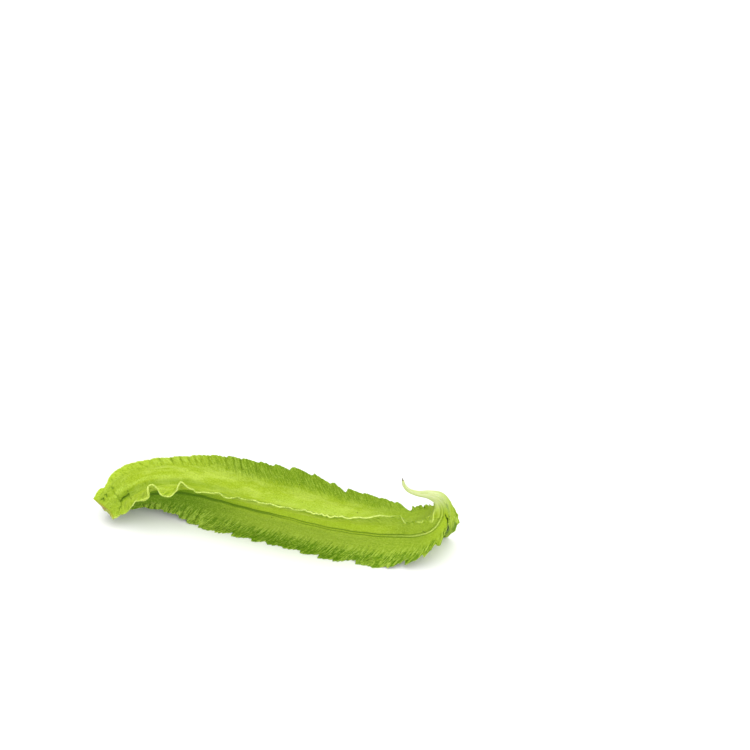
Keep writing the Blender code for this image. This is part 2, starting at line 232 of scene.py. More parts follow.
@dataclass
class PodBody:
    """The four-sided body between the wings."""

    half: Table = (
        (0, 3.0), (4, 3.6), (10, 4.4), (20, 5.0), (40, 5.4), (65, 5.6), (105, 5.6), (135, 5.3), (151, 4.9),
        (163, 4.5), (171, 4.0), (175, 3.4), (180, 2.6), (184, 1.85), (188, 1.3), (192, 1.0), (197, 0.75),
        (200, 0.5), (202, 0.3))
    corner_share: Table = ((0, 1.35), (15, 1.42), (165, 1.42), (180, 1.12), (187, 1.06), (203, 1.05))
    channel: float = 0.9
    crest: Table = ((0, 0.4), (8, 1.3), (30, 1.2), (48, 0.5), (62, 0.0), (203, 0.0))
    crest_place: float = 0.52
    crest_half: float = 0.3
    # Painted highlight along the crest and the face's middle, and painted shade in front of them.
    crest_highlight_half: float = 0.1
    crest_highlight: Table = ((0, 0.0), (6, 0.35), (28, 0.5), (40, 0.3), (55, 0.0), (203, 0.0))
    middle_highlight: Table = ((0, 0.0), (74, 0.0), (92, 0.4), (112, 0.45), (126, 0.25), (142, 0.0), (203, 0.0))
    middle_place: float = 0.4
    middle_half: float = 0.6
    front_shade: Table = (
        (0, 0.1), (9, 0.35), (14, 0.6), (30, 0.55), (52, 0.45), (66, 0.35), (80, 0.0), (203, 0.0))
    front_run: float = 0.2
    front_edge: float = 0.04
    # The creases' last column is the painted shade in them.
    top_creases: Table = (
        (14.2, 0.24, 11.6, 0.2, 0.75, 1.0, 1.3), (11.6, 0.2, 9.6, 0.17, 0.8, 1.2, 1.4),
        (9.6, 0.17, 7.4, 0.0, 0.8, 1.2, 1.3), (1.2, 1.0, 3.0, 0.84, 0.55, 0.7, 1.4),
        (3.0, 0.84, 2.4, 0.7, 0.5, 0.5, 1.1), (3.6, 1.0, 4.9, 0.84, 0.5, 0.6, 1.2),
        (4.9, 0.84, 4.2, 0.7, 0.5, 0.4, 1.0), (8.3, 1.0, 8.6, 0.8, 0.5, 0.6, 1.0))
    # Only painted, never pressed in: the crease's dark column paints a shadow in the hook's slit.
    side_creases: Table = ((172.6, 0.2, 171.2, 0.03, 0.45, 0.25, 2.0),)
    seed_first: float = 34.0
    seed_last: float = 150.0
    seed_pitch: float = 11.6
    seed_rise: float = 0.22
    seed_lead: float = 6.0
    seed_ease: float = 14.0

    def half_at(self, along: np.ndarray) -> np.ndarray:
        """Return the distance from the middle line to a face."""
        return read_table(self.half, 1, along)

    def corner_at(self, along: np.ndarray) -> np.ndarray:
        """Return the distance from the middle line to a corner."""
        return self.half_at(along) * read_table(self.corner_share, 1, along)

    def top_relief(self, along: np.ndarray, share: np.ndarray) -> np.ndarray:
        """Return the height over the plain top face: its crest near the stem, and its creases."""
        crest = read_table(self.crest, 1, along) * bump(share, self.crest_place, self.crest_half)
        return crest - creased(self.top_creases, along, share, 2 * self.half_at(along), CREASE_DEPTH)

    def top_shade(self, along: np.ndarray, share: np.ndarray) -> np.ndarray:
        """Work out the painted highlight and shade on the top face.

        Args:
            along: Distances along the pod.
            share: Shares of the face's width.

        Returns:
            The paint: painted highlight above 0 on the crest and the middle, painted shade below 0 in front
                of them.
        """
        pale = read_table(self.crest_highlight, 1, along) * bump(share, self.crest_place, self.crest_highlight_half)
        middle = bump(share, self.middle_place, self.middle_half)
        pale = pale + read_table(self.middle_highlight, 1, along) * middle
        front = read_table(self.front_shade, 1, along) * ease((self.crest_place - share) / self.front_run)
        return pale - front * ease(share / self.front_edge)

    def seeds(self, along: np.ndarray) -> np.ndarray:
        """Work out how far the young seeds press the side faces out.

        Args:
            along: Distances along the pod.

        Returns:
            The height at each distance.
        """
        row = 0.5 + 0.5 * np.cos(2 * np.pi * (along - self.seed_first) / self.seed_pitch)
        begin = ease((along - self.seed_first + self.seed_lead) / self.seed_ease)
        return self.seed_rise * row * (begin * ease((self.seed_last - along) / self.seed_ease))


@dataclass
class WingForm:
    """One wing: where it goes, how its edge is cut, and how it folds and crimps.

    The rows hold distance along the pod, length and direction, the folds distance, shift sideways and shift
    along the pod, the bends, crimps, teeth, bead and pale rim distance and size, and the notches distance and
    depth. The rim's paleness is partly painted highlight. Each sway, shiver and unevenness holds its size and
    the run in which it turns by a radian.
    """

    wing: Wing
    rows: Table
    notches: Table
    bends: Table = ((0, 0), (203, 0))
    folds: Table = ((0, 0, 0), (203, 0, 0))
    crimps: Table = ((0, 0.1), (203, 0.1))
    teeth: Table = ((0, 0.3), (203, 0.3))
    bead: Table = ((0, 0.0), (203, 0.0))
    dents: Table = ()
    creases: Table = ()
    rim_pale_and_highlight: Table = ((0, 0.25), (203, 0.25))
    tint: float = 1.0
    seen_side: float = 1.0
    table_side: float = 0.0
    root_half: float = 1.1
    rim_half: float = 0.24
    thin_power: float = 1.9
    bead_from: float = 0.5
    bead_run: float = 0.4
    rise: float = 1.15
    fall_power: float = 1.9
    lobes_from: float = 0.3
    deepest_share: float = 0.35
    edge_from: float = 0.7
    edge_run: float = 0.3
    foot_run: float = 0.3
    tooth_pitch: float = 2.2
    tooth_sway: Span = (0.35, 3.1)
    tooth_mean: float = 0.6
    tooth_unevenness: tuple[Span, Span] = ((0.25, 4.7), (0.25, 1.9))
    tooth_rise: float = 0.2
    tooth_power: float = 1.6
    teeth_from: float = 4.0
    teeth_to: float = 178.0
    teeth_ease: float = 10.0
    vein_pitch: float = 2.1
    vein_sway: Span = (0.45, 5.3)
    vein_shiver: Span = (0.3, 2.1)
    fine_vein_pitch: float = 1.37
    fine_vein_sway: Span = (3.0, 6.1)
    fine_vein_share: float = 0.25
    vein_height: float = 0.045
    vein_lean: float = 0.3
    vein_rim_loss: float = 0.3
    vein_paint: float = 0.3
    crimp_pitch: float = 3.3
    crimp_sway: Span = (0.4, 9.0)
    crimp_shiver: Span = (0.2, 3.7)
    crimp_power: float = 0.7
    crimp_mean: float = 0.75
    crimp_unevenness: Span = (0.35, 5.9)
    crimp_turn: float = 1.3
    crimp_from: float = 0.1
    crimp_run: float = 0.6
    crimp_paint: float = 3.8
    wave_pitch: float = 8.0
    wave_share: float = 0.03
    wave_turn: float = 2.0
    fold_growth: float = 1.6

    def length(self, along: np.ndarray) -> np.ndarray:
        """Return the wing's length, before its edge is cut."""
        return read_table(self.rows, 1, along)

    def lobe_cut(self, along: np.ndarray) -> np.ndarray:
        """Work out how far the edge is drawn in: nothing at a lobe's tip, most in the notch before the next.

        Args:
            along: Distances along the pod.

        Returns:
            The cut at each distance.
        """
        at, depth = np.array(self.notches).T
        i = np.clip(np.searchsorted(at, along, side="right") - 1, 0, len(at) - 2)
        past = along - at[i]
        rise = depth[i] * (1 - ease(past / self.rise))
        run = np.clip((past - self.rise) / (at[i + 1] - at[i] - self.rise), 0, 1)
        cut = np.where(past < self.rise, rise, depth[i + 1] * run**self.fall_power)
        return np.where((along > at[0]) & (along < at[-1]), cut, 0)

    def tooth_cut(self, along: np.ndarray) -> np.ndarray:
        """Work out how far the small teeth of each lobe draw the edge in, unevenly along the pod.

        Args:
            along: Distances along the pod.

        Returns:
            The cut at each distance.
        """
        slow, quick = self.tooth_unevenness
        turn = along / self.tooth_pitch + sway(along, *self.tooth_sway, self.wing) + self.wing / len(Wing)
        uneven = self.tooth_mean + sway(along, *slow, 2 * self.wing) + sway(along, *quick, self.wing)
        run = turn % 1
        fall = np.maximum(run - self.tooth_rise, 0) / (1 - self.tooth_rise)
        edge = np.where(run < self.tooth_rise, 1 - ease(run / self.tooth_rise), fall**self.tooth_power)
        return read_table(self.teeth, 1, along) * uneven * edge

    def reach(self, along: np.ndarray, share: np.ndarray) -> np.ndarray:
        """Work out the distance from the wing's foot, with the lobes and teeth cut near its edge.

        Args:
            along: Distances along the pod.
            share: Shares of the wing's length.

        Returns:
            The distance at each point.
        """
        length = self.length(along)
        starting, ending = along - self.teeth_from, self.teeth_to - along
        small = ease(starting / self.teeth_ease) * ease(ending / self.teeth_ease)
        lobes = self.lobe_cut(along) * ease((share - self.lobes_from) / (1 - self.lobes_from))
        teeth = self.tooth_cut(along) * small * ease((share - self.edge_from) / self.edge_run)
        return share * (length - np.minimum(lobes + teeth, self.deepest_share * length))

    def half_thick(self, along: np.ndarray, share: np.ndarray) -> np.ndarray:
        """Return half the wing's thickness, which thins towards the rim, with a bead there in places."""
        bead = read_table(self.bead, 1, along) * ease((share - self.bead_from) / self.bead_run)
        return bead + self.rim_half + (self.root_half - self.rim_half) * (1 - share) ** self.thin_power

    def veins(self, along: np.ndarray) -> np.ndarray:
        """Work out the slanted veins.

        Args:
            along: Distances along the pod, counted on a vein.

        Returns:
            Their height, from -1 between them to 1 on a vein.
        """
        turn = along / self.vein_pitch + sway(along, *self.vein_sway, self.wing)
        turn = turn + sway(along, *self.vein_shiver)
        fine = np.sin(2 * np.pi * along / self.fine_vein_pitch + sway(along, *self.fine_vein_sway))
        return (1 - self.fine_vein_share) * np.sin(2 * np.pi * turn) + self.fine_vein_share * fine

    def crimped(self, along: np.ndarray, share: np.ndarray) -> np.ndarray:
        """Work out the crimps: rounded ridges on the seen side, with sharp creases between.

        Args:
            along: Distances along the pod, counted on a vein.
            share: Shares of the wing's length.

        Returns:
            Their height at each point.
        """
        turn = along / self.crimp_pitch + sway(along, *self.crimp_sway, self.wing)
        turn = turn + sway(along, *self.crimp_shiver)
        ridge = 2 * np.abs(np.sin(np.pi * turn)) ** self.crimp_power - 1
        uneven = self.crimp_mean + sway(along, *self.crimp_unevenness, self.crimp_turn * self.wing)
        height = read_table(self.crimps, 1, along) * uneven * ridge
        return height * ease((share - self.crimp_from) / self.crimp_run)

    def sideways(self, along: np.ndarray, share: np.ndarray, eased: np.ndarray) -> np.ndarray:
        """Work out how far the wing stands sideways of its plane.

        Args:
            along: Distances along the pod, counted on a vein.
            share: Shares of the wing's length.
            eased: 0 at the pod's ends and 1 between them.

        Returns:
            The sideways distance.
        """
        wave = self.wave_share * self.length(along)
        wave = wave * np.sin(2 * np.pi * along / self.wave_pitch + self.wave_turn * self.wing)
        broad = (read_table(self.folds, 1, along) + wave * eased) * share**self.fold_growth
        thinned = 1 - self.vein_rim_loss * ease((share - self.edge_from) / self.edge_run)
        veins = self.vein_height * self.veins(along) * (ease(share / self.foot_run) * thinned)
        fine = (self.crimped(along, share) + veins) * eased
        pressed = creased(self.creases, along, share, self.length(along), CREASE_DEPTH)
        return broad + (fine + dented(self.dents, along, share, DENT_HEIGHT) - pressed) * self.seen_side

    def shade(self, along: np.ndarray, share: np.ndarray) -> np.ndarray:
        """Return the paint on the veins and crimps: above 0 on a ridge, as pale veins and painted highlight,
        and below 0 in a crease, as painted shade.
        """
        paint = self.vein_paint * self.veins(along) + self.crimp_paint * self.crimped(along, share)
        return paint * ease(share / self.foot_run)

    def lengthways(self, along: np.ndarray, share: np.ndarray) -> np.ndarray:
        """Return how far a fold carries the wing along the pod."""
        return read_table(self.folds, 2, along) * share**self.fold_growth


FRONT_TOP = WingForm(
    Wing.FRONT_TOP,
    rows=(
        (0, 2.0, 190), (5, 3.4, 188), (10, 4.8, 184), (14, 5.6, 179), (17, 6.2, 173), (20, 7.2, 166),
        (23, 8.6, 159), (26, 9.2, 152), (29.5, 8.8, 149), (33, 8.6, 148), (37, 9.4, 148), (40, 9.2, 147),
        (43.5, 8.4, 146), (48, 8.6, 145), (53, 9.0, 144), (60, 9.0, 141), (68, 9.0, 137), (73, 9.0, 136),
        (79, 9.0, 134), (90, 9.0, 131), (103, 9.0, 129), (113, 9.0, 130), (123, 8.6, 126), (135, 8.2, 119),
        (144, 7.8, 112), (149, 6.6, 108), (151, 4.6, 112), (152.5, 5.4, 116), (154, 4.6, 118),
        (155.5, 2.6, 118), (158.5, 2.4, 118), (160, 3.8, 120), (162.5, 4.0, 120), (164, 2.0, 120),
        (168.6, 1.8, 120), (169.6, 1.6, 122), (171.0, 5.8, 128), (174.0, 5.8, 128), (175.4, 1.2, 124),
        (177.5, 0.5, 120), (181, 0.3, 118), (187, 0.1, 118), (203, 0.05, 118)),
    notches=tuple(
        (6 + 7.9 * i + 1.6 * math.sin(2.3 * i), 0.7 + 0.3 * math.sin(1.7 * i)) for i in range(22)),
    folds=(
        (0, 2.7, -0.6), (3, 2.6, -1.4), (6, 1.8, -2.0), (8, 1.5, -2.4), (11, 1.4, -1.5), (14, 0.6, -0.2),
        (16.5, -1.5, 0.5), (19, -2.4, 0.2), (22, -2.0, 0.9), (24.5, -1.2, 2.3), (26.5, -1.6, 3.2),
        (28.5, -3.0, 1.4), (30, -3.7, 0.5), (31.5, -3.8, 0.7), (33.5, -1.8, 0.5), (35.5, 1.3, -0.5),
        (38, 3.0, -0.6), (40, 2.8, -0.3), (42, 1.8, -0.5), (44, 0.4, -0.4), (46.5, -3.7, 0.1),
        (49, -2.4, 0.7), (52, -1.1, 0.8), (56, -0.3, 0.3), (60, 0.0, 0.0), (68, -0.8, 0), (73, 0.6, 0),
        (79, -0.4, 0), (90, 0, 0), (103, 0.3, 0), (113, -0.3, 0), (123, 0, 0), (135, 0.4, 0),
        (144, -0.3, 0), (149, 0.2, 0), (150.6, -0.4, 0.2), (152.4, 2.6, 0.5), (154.4, 0.6, -0.2),
        (157, -0.5, -0.2), (160.2, 0.6, -0.5), (162.4, 1.0, 0.5), (164.4, -0.6, 0), (168.8, 0.0, 0.2),
        (169.8, 0.2, 0.2), (171.4, 3.8, 0.6), (174.2, 3.4, 1.4), (176, 0, 0), (203, 0, 0)),
    crimps=((0, 0.0), (60, 0.04), (148, 0.06), (154, 0.25), (168, 0.25), (174, 0.0), (203, 0.0)),
    teeth=((0, 0.1), (60, 0.14), (148, 0.16), (153, 0.3), (170, 0.3), (203, 0.0)),
    bead=(
        (0, 1.1), (2.2, 1.0), (4.2, 0.2), (8, 0.0), (22, 0.0), (24, 0.3), (27, 0.3), (30, 0.0), (203, 0.0)),
    # The last column of the dents and of the creases is painted shade.
    dents=(
        (13.5, 0.5, 1.6, 5.0, 0.6, 0.0), (23.5, 0.5, -0.6, 2.2, 0.5, 0.5), (46.5, 0.7, 0.0, 2.0, 0.35, 0.3)),
    creases=(
        (7.6, 0.0, 6.4, 0.2, 1.0, 1.2, 1.4), (6.4, 0.2, 5.4, 0.4, 0.9, 1.1, 1.3),
        (5.4, 0.4, 5.0, 0.66, 0.8, 0.9, 1.2), (14.8, 0.1, 15.6, 0.34, 0.7, 0.5, 0.7),
        (150.8, 0.4, 151.4, 1.0, 0.6, 0.4, 1.0), (158.8, 0.3, 159.2, 1.0, 0.6, 0.3, 0.9),
        (170.0, 0.2, 170.5, 1.0, 0.6, 0.3, 1.0)),
    rim_pale_and_highlight=(
        (0, 0.8), (20, 1.0), (50, 1.0), (62, 0.9), (78, 0.85), (146, 0.8), (150.4, 0.1), (152, 0.9),
        (154, 0.1), (159.4, 0.1), (160.8, 1.0), (162.8, 0.9), (164.2, 0.1), (170.6, 0.1), (172.0, 1.0),
        (174.4, 0.9), (175.6, 0.0), (203, 0.0)),
    seen_side=-1.0, rim_half=0.3, tint=0.45)

BACK_TOP = WingForm(
    Wing.BACK_TOP,
    rows=(
        (0, 2.2, 62), (3, 2.9, 60), (4.8, 2.7, 58), (6, 1.7, 58), (7.4, 2.2, 56), (13, 4.6, 54),
        (23, 5.2, 52), (42, 5.6, 50), (52, 7.4, 50), (63, 9.4, 50), (84, 11.2, 50), (103, 12.3, 50),
        (113, 10.3, 50), (123, 8.2, 48), (142, 6.3, 42), (150, 4.8, 36), (154, 2.5, 30), (156, 3.7, 28),
        (160, 3.8, 28), (163, 3.4, 28), (166, 3.2, 28), (168.4, 2.6, 28), (169.6, 1.0, 28),
        (170.6, 0.6, 28), (172, 1.6, 28), (174, 1.4, 28), (176, 0.5, 28), (181, 0.2, 28), (187, 0.1, 28),
        (203, 0.05, 28)),
    notches=(
        (8, 0.3), (17, 0.4), (28.4, 0.5), (37, 0.4), (45, 0.5), (54, 0.4), (62, 0.6), (70, 0.6), (79, 0.7),
        (87, 0.9), (95.6, 1.5), (106.5, 1.6), (115.5, 1.3), (122.6, 2.3), (131, 0.6), (139.6, 0.7),
        (147, 0.8), (154.3, 2.0), (157.2, 0.8), (159.6, 0.5), (161.8, 1.0), (164.2, 0.6), (166.4, 1.1),
        (168.4, 0.5), (170.6, 0.8), (174, 0.4)),
    folds=(
        (0, 0, 0), (150, 0.3, 0), (153.5, -0.4, 0), (156, 1.0, 0.3), (158.4, -0.8, -0.3), (160.6, 1.0, 0.3),
        (163, -0.7, -0.2), (165, 0.9, 0), (167.2, -0.5, 0), (170, 0.2, 0), (174, 0, 0), (203, 0, 0)),
    crimps=(
        (0, 0.0), (12, 0.3), (28, 0.5), (60, 0.5), (74, 0.3), (84, 0.14), (150, 0.1), (155, 0.28),
        (167, 0.28), (172, 0.0), (203, 0.0)),
    teeth=((0, 0.1), (10, 0.2), (60, 0.4), (150, 0.4), (155, 0.6), (175, 0.4), (203, 0.0)),
    rim_pale_and_highlight=((0, 0.5), (6, 1.0), (36, 1.0), (52, 0.4), (203, 0.3)),
    crimp_pitch=3.9, rise=2.2, fall_power=1.2)

BACK_BOTTOM = WingForm(
    Wing.BACK_BOTTOM,
    rows=(
        (0, 1.0, 300), (10, 3.5, 303), (22, 7.0, 306), (35, 10.5, 308), (55, 12.4, 308), (75, 12.4, 308),
        (115, 12.0, 308), (140, 10.5, 304), (152, 9.4, 300), (158, 10.2, 296), (161, 12.2, 293),
        (163, 15.0, 292), (164.6, 15.8, 292), (165.2, 14.2, 292), (166.2, 15.0, 292), (166.8, 12.8, 292),
        (167.6, 11.7, 292), (168.1, 8.9, 292), (169, 8.0, 292), (169.6, 5.4, 292), (170.4, 4.7, 292),
        (170.9, 3.1, 292), (171.8, 2.4, 292), (173, 1.1, 293), (175, 0.5, 294), (178, 0.2, 296),
        (184, 0.1, 298), (203, 0.05, 298)),
    notches=tuple(
        (5 + 7.7 * i + 1.6 * math.sin(1.9 * i), 1.5 + 0.6 * math.sin(2.9 * i)) for i in range(22)),
    folds=(
        (0, 0, 0), (152, 0, 0), (158, 0.5, 0), (162, -0.5, 0), (166, 0.5, 0), (170, -0.3, 0), (174, 0, 0),
        (203, 0, 0)),
    crimps=((0, 0.0), (20, 0.35), (60, 0.3), (90, 0.14), (203, 0.1)),
    teeth=((0, 0.1), (15, 0.4), (40, 0.65), (165, 0.65), (203, 0.3)),
    # The creases' last column is painted shade; past 1 it paints a shadow in the hook's slit.
    creases=(
        (166.5, 0.08, 166.3, 0.18, 0.5, 0.2, 2.0), (166.3, 0.18, 165.9, 0.37, 0.5, 0.2, 2.0),
        (165.9, 0.37, 165.5, 0.6, 0.4, 0.2, 1.3), (165.5, 0.8, 165.3, 0.96, 0.5, 0.2, 1.2)),
    crimp_pitch=4.0, table_side=1.0)

FRONT_BOTTOM = WingForm(
    Wing.FRONT_BOTTOM,
    rows=(
        (0, 1.0, 232), (10, 2.0, 230), (22, 3.2, 228), (29, 4.6, 226), (38, 7.0, 226), (47, 9.6, 228),
        (56, 11.4, 231), (65, 12.4, 235), (76, 12.0, 238), (86, 11.8, 239), (103, 11.2, 237),
        (120, 11.9, 233), (127, 11.5, 231), (131, 10.6, 230), (135, 10.9, 228), (141, 11.6, 224),
        (147, 11.2, 221), (155, 9.6, 214), (160, 7.8, 210), (162.2, 5.8, 208), (163.3, 4.4, 208),
        (164, 6.0, 208), (165.2, 5.8, 208), (165.9, 3.4, 208), (168, 1.5, 208), (170, 0.8, 208),
        (173, 0.4, 208), (179, 0.4, 208), (186, 0.1, 208), (203, 0.05, 208)),
    bends=(
        (0, 0), (120, 0), (127, 2), (131, 4), (135, 5), (141, 8), (147, 10), (155, 8), (160, 0), (203, 0)),
    notches=(
        (12, 0.3), (22, 0.5), (32, 0.8), (42, 1.2), (48.5, 1.2), (57, 1.4), (66, 0.8), (74.3, 2.0),
        (84.2, 1.4), (90.9, 1.4), (99, 0.6), (107.9, 1.3), (116.9, 1.8), (124, 0.7), (133.4, 1.9),
        (141, 0.7), (147, 0.9), (153.4, 2.2), (159.4, 1.8), (164.4, 1.5), (170, 0.4)),
    folds=((0, 0, 0), (22, 0, 0), (29, 0.4, 0), (38, -0.4, 0), (47, 0.3, 0), (56, 0, 0), (203, 0, 0)),
    crimps=(
        (0, 0.0), (16, 0.3), (24, 0.85), (48, 0.85), (62, 0.3), (76, 0.1), (140, 0.06), (158, 0.16),
        (203, 0.16)),
    teeth=((0, 0.1), (15, 0.3), (35, 0.6), (60, 0.75), (165, 0.8), (203, 0.3)),
    # The creases' last column is painted shade; past 1 it paints a shadow in the hook's slit.
    creases=(
        (171.5, 0.0, 170.5, 0.2, 0.5, 0.2, 2.0), (170.5, 0.2, 169.7, 0.56, 0.5, 0.2, 2.0),
        (169.7, 0.56, 168.9, 1.0, 0.5, 0.2, 2.0), (166.9, 0.5, 166.6, 1.0, 0.5, 0.3, 1.3),
        (161.2, 0.5, 160.6, 1.0, 0.4, 0.3, 0.8), (155.0, 0.55, 154.2, 1.0, 0.4, 0.3, 0.8)),
    crimp_pitch=4.6, table_side=-1.0, seen_side=-1.0)


@dataclass
class SeamForm:
    """A seam down a side face: one furrow near the stem, which parts into two with a cord between them."""

    centre: Table = (
        (0, 0.5), (95, 0.5), (101, 0.475), (111, 0.46), (125, 0.44), (139, 0.42), (148, 0.395), (155, 0.38),
        (160, 0.375), (166, 0.43), (171, 0.485), (177, 0.5), (203, 0.5))
    parts_from: float = 78.0
    parts_to: float = 98.0
    aside_near_stem: float = 0.3
    aside: float = 0.5
    groove_half_near_stem: float = 0.85
    groove_half: float = 0.36
    depth: float = 0.3
    cord_rise: float = 0.12
    cord_pales_from: float = 135.0
    cord_pales_to: float = 170.0
    fades_from: float = 174.0
    fades_to: float = 184.0
    starts_from: float = 3.0
    start_run: float = 9.0
    paint_loss: float = 0.5
    faint_from: float = 145.0
    faint_run: float = 20.0
    full_depth_half: float = 4.5

    def centre_at(self, along: np.ndarray, front: bool) -> np.ndarray:
        """Return the share of the face's width where the seam runs."""
        return read_table(self.centre, 1, along) if front else np.full_like(along, 0.5)

    def strength(self, along: np.ndarray) -> np.ndarray:
        """Return 1 along the pod and 0 at its stem end and in its beak."""
        fades = ease((self.fades_to - along) / (self.fades_to - self.fades_from))
        return ease((along - self.starts_from) / self.start_run) * fades

    def shaded_groove(self, along: np.ndarray, off: np.ndarray) -> np.ndarray:
        """Work out how deep in a groove a point is.

        Args:
            along: Distances along the pod.
            off: Distances off the seam's middle.

        Returns:
            The depth, from 0 to 1.
        """
        parted = ease((along - self.parts_from) / (self.parts_to - self.parts_from))
        aside = self.aside_near_stem + (self.aside - self.aside_near_stem) * parted
        half = self.groove_half_near_stem + (self.groove_half - self.groove_half_near_stem) * parted
        return (1 - ease(np.abs(np.abs(off) - aside) / half)) * self.strength(along)

    def paint(self, along: np.ndarray, off: np.ndarray) -> np.ndarray:
        """Return how dark the painted shade in the grooves is, from 0 to 1: fainter where the pod hooks."""
        faint = self.paint_loss * ease((along - self.faint_from) / self.faint_run)
        return self.shaded_groove(along, off) * (1 - faint)

    def cord(self, along: np.ndarray, off: np.ndarray) -> np.ndarray:
        """Return how pale the cord is, from 0 to 1: plain near the stem and pale where the pod hooks."""
        pales = ease((along - self.cord_pales_from) / (self.cord_pales_to - self.cord_pales_from))
        return pales * (1 - ease(np.abs(off) / self.aside)) * self.strength(along)

    def relief(self, along: np.ndarray, off: np.ndarray) -> np.ndarray:
        """Return the height over the plain face: grooves pressed in, the cord between them raised."""
        cord = self.cord_rise * (1 - ease(np.abs(off) / self.aside)) * self.strength(along)
        return cord - self.depth * self.shaded_groove(along, off)


@dataclass
class PodForm:
    """The whole pod's shape as a formula, for any set of sections and places round them."""

    line: MiddleLine = field(default_factory=MiddleLine)
    body: PodBody = field(default_factory=PodBody)
    seam: SeamForm = field(default_factory=SeamForm)
    wings: tuple[WingForm, ...] = (FRONT_TOP, BACK_TOP, BACK_BOTTOM, FRONT_BOTTOM)
    lean: float = 0.45
    lean_starts: float = 2.0
    lean_ends: float = 176.0
    lean_ease: float = 16.0
    thin_in_beak: float = 0.26
    caps_from: float = 150.0
    caps_run: float = 20.0
    cap_slack: float = 2.0
    cut_aim: float = 75.0
    cut_reach: float = 6.0
    cut_front: float = -0.2
    cut_run: float = 7.0
    cut_slant: float = 1.5
    beak_from: float = 172.0
    beak_full: float = 186.0
    beak_radius: float = 1.12
    beak_slack: float = 1.6
    table_sink: float = 0.8
    table_press: float = 0.6
    rim_round: float = 0.75

    def sheet(self, wing: WingForm, along: np.ndarray, steps: np.ndarray) -> np.ndarray:
        """Make the middle surface of a wing.

        Args:
            wing: The wing.
            along: Distances of the sections along the pod.
            steps: Shares of the wing's length.

        Returns:
            Points by section and share.
        """
        along, share = np.meshgrid(along, steps, indexing="ij")
        reach = wing.reach(along, share)
        starting, ending = along - self.lean_starts, self.lean_ends - along
        eased = ease(starting / self.lean_ease) * ease(ending / self.lean_ease)
        place = along - self.lean * eased * reach
        aim = np.radians(read_table(wing.rows, 2, place))
        bend = np.radians(read_table(wing.bends, 1, place)) * share / 2
        aside = wing.sideways(along, share, eased)
        corner = self.body.corner_at(place)
        back = corner * np.cos(aim) + reach * np.cos(aim + bend) - aside * np.sin(aim)
        up = corner * np.sin(aim) + reach * np.sin(aim + bend) + aside * np.cos(aim)
        middle, back_way, up_way, ahead = self.line.at(place)
        onward = wing.lengthways(along, share)
        return middle + back_way * back[..., None] + up_way * up[..., None] + ahead * onward[..., None]

    def press_on_table(self, sheet: np.ndarray, half_thick: np.ndarray, side: float) -> np.ndarray:
        """Keep a wing above the table, and spread outwards what the table pushes up.

        Args:
            sheet: The wing's middle surface.
            half_thick: Half the wing's thickness.
            side: Which way it spreads along Y, 0 where it doesn't.

        Returns:
            The pressed surface.
        """
        pushed = np.maximum(half_thick - sheet[..., 2], 0)
        sheet[..., 2] += pushed
        sheet[..., 1] += side * self.table_press * pushed
        return sheet

    def wing_sides(self, wing: WingForm, along: np.ndarray, steps: np.ndarray) -> tuple[np.ndarray, ...]:
        """Give a wing its thickness.

        Args:
            wing: The wing.
            along: Distances of the sections along the pod.
            steps: Shares of the wing's length.

        Returns:
            The middle surface, its near side, its rim and its far side, as points by section and share.
        """
        half = wing.half_thick(along[:, None], steps[None, :])
        slack = self.cap_slack * (1 - ease((along - self.caps_from) / self.caps_run))
        half = np.minimum(half, (self.thin_in_beak * self.body.half_at(along) + slack)[:, None])
        sheet = self.press_on_table(self.sheet(wing, along, steps), half * self.table_sink, wing.table_side)
        normal = unit(np.cross(np.gradient(sheet, axis=0), np.gradient(sheet, axis=1)))
        outward = unit(sheet[:, -1:] - sheet[:, -2:-1])
        rim = sheet[:, -1:] + outward * half[:, -1:, None] * self.rim_round
        return sheet, sheet + normal * half[..., None], rim, sheet - normal * half[..., None]

    @staticmethod
    def face(start: np.ndarray, start_way: np.ndarray, end: np.ndarray, end_way: np.ndarray,
             shares: np.ndarray) -> np.ndarray:
        """Make the hollow face from one wing's foot to the next.

        Args:
            start: The one foot's points, by section.
            start_way: The ways in which the face leaves them.
            end: The next foot's points, by section.
            end_way: The ways in which the face reaches them.
            shares: Shares of the face's width, by section.

        Returns:
            Points by section and share.
        """
        weights = hermite(shares[..., None])
        start, start_way, end, end_way = (
            weight * rows[:, None] for weight, rows in zip(weights, (start, start_way, end, end_way)))
        return start + start_way + end + end_way


@dataclass
class SectionPlan:
    """Where the loft has points round a section."""

    wing_steps: tuple[float, ...] = (
        0.0, 0.08, 0.17, 0.27, 0.37, 0.47, 0.56, 0.65, 0.73, 0.8, 0.86, 0.91, 0.95, 0.98, 1.0)
    top_face_points: int = 14
    under_face_points: int = 6
    seam_offsets: tuple[float, ...] = (
        -1.1, -0.78, -0.6, -0.45, -0.31, -0.16, 0.0, 0.16, 0.31, 0.45, 0.6, 0.78, 1.1)
    seam_side_points: int = 4
    typical_face_width: float = 10.0

    def plain_shares(self, wing: Wing, rings: int) -> np.ndarray:
        """Return the shares of a plain face's width where it has points, by section."""
        points = self.top_face_points if wing is Wing.FRONT_TOP else self.under_face_points
        return np.tile(np.linspace(0, 1, points + 2)[1:-1], (rings, 1))

    def seam_shares(self, width: np.ndarray, centre: np.ndarray) -> tuple[np.ndarray, np.ndarray]:
        """Work out where a seam's face has points: closest together in its grooves.

        Args:
            width: The face's width, by section.
            centre: The share of it where the seam runs, by section.

        Returns:
            The shares of the width by section and place, and their distances off the seam.
        """
        spread = np.array(self.seam_offsets) / self.typical_face_width
        near = np.linspace(0, centre + spread[0], self.seam_side_points + 2, axis=1)[:, 1:-1]
        far = np.linspace(centre + spread[-1], 1, self.seam_side_points + 2, axis=1)[:, 1:-1]
        shares = np.concatenate([near, centre[:, None] + spread[None, :], far], axis=1)
        return shares, (shares - centre[:, None]) * width[:, None]


@dataclass
class SkinField:
    """The skin's points with what its finish reads, all by section and place round it."""

    points: np.ndarray
    share: np.ndarray
    shaded_groove: np.ndarray
    vein_and_shading: np.ndarray
    low: np.ndarray
    rim: np.ndarray
    lean: np.ndarray


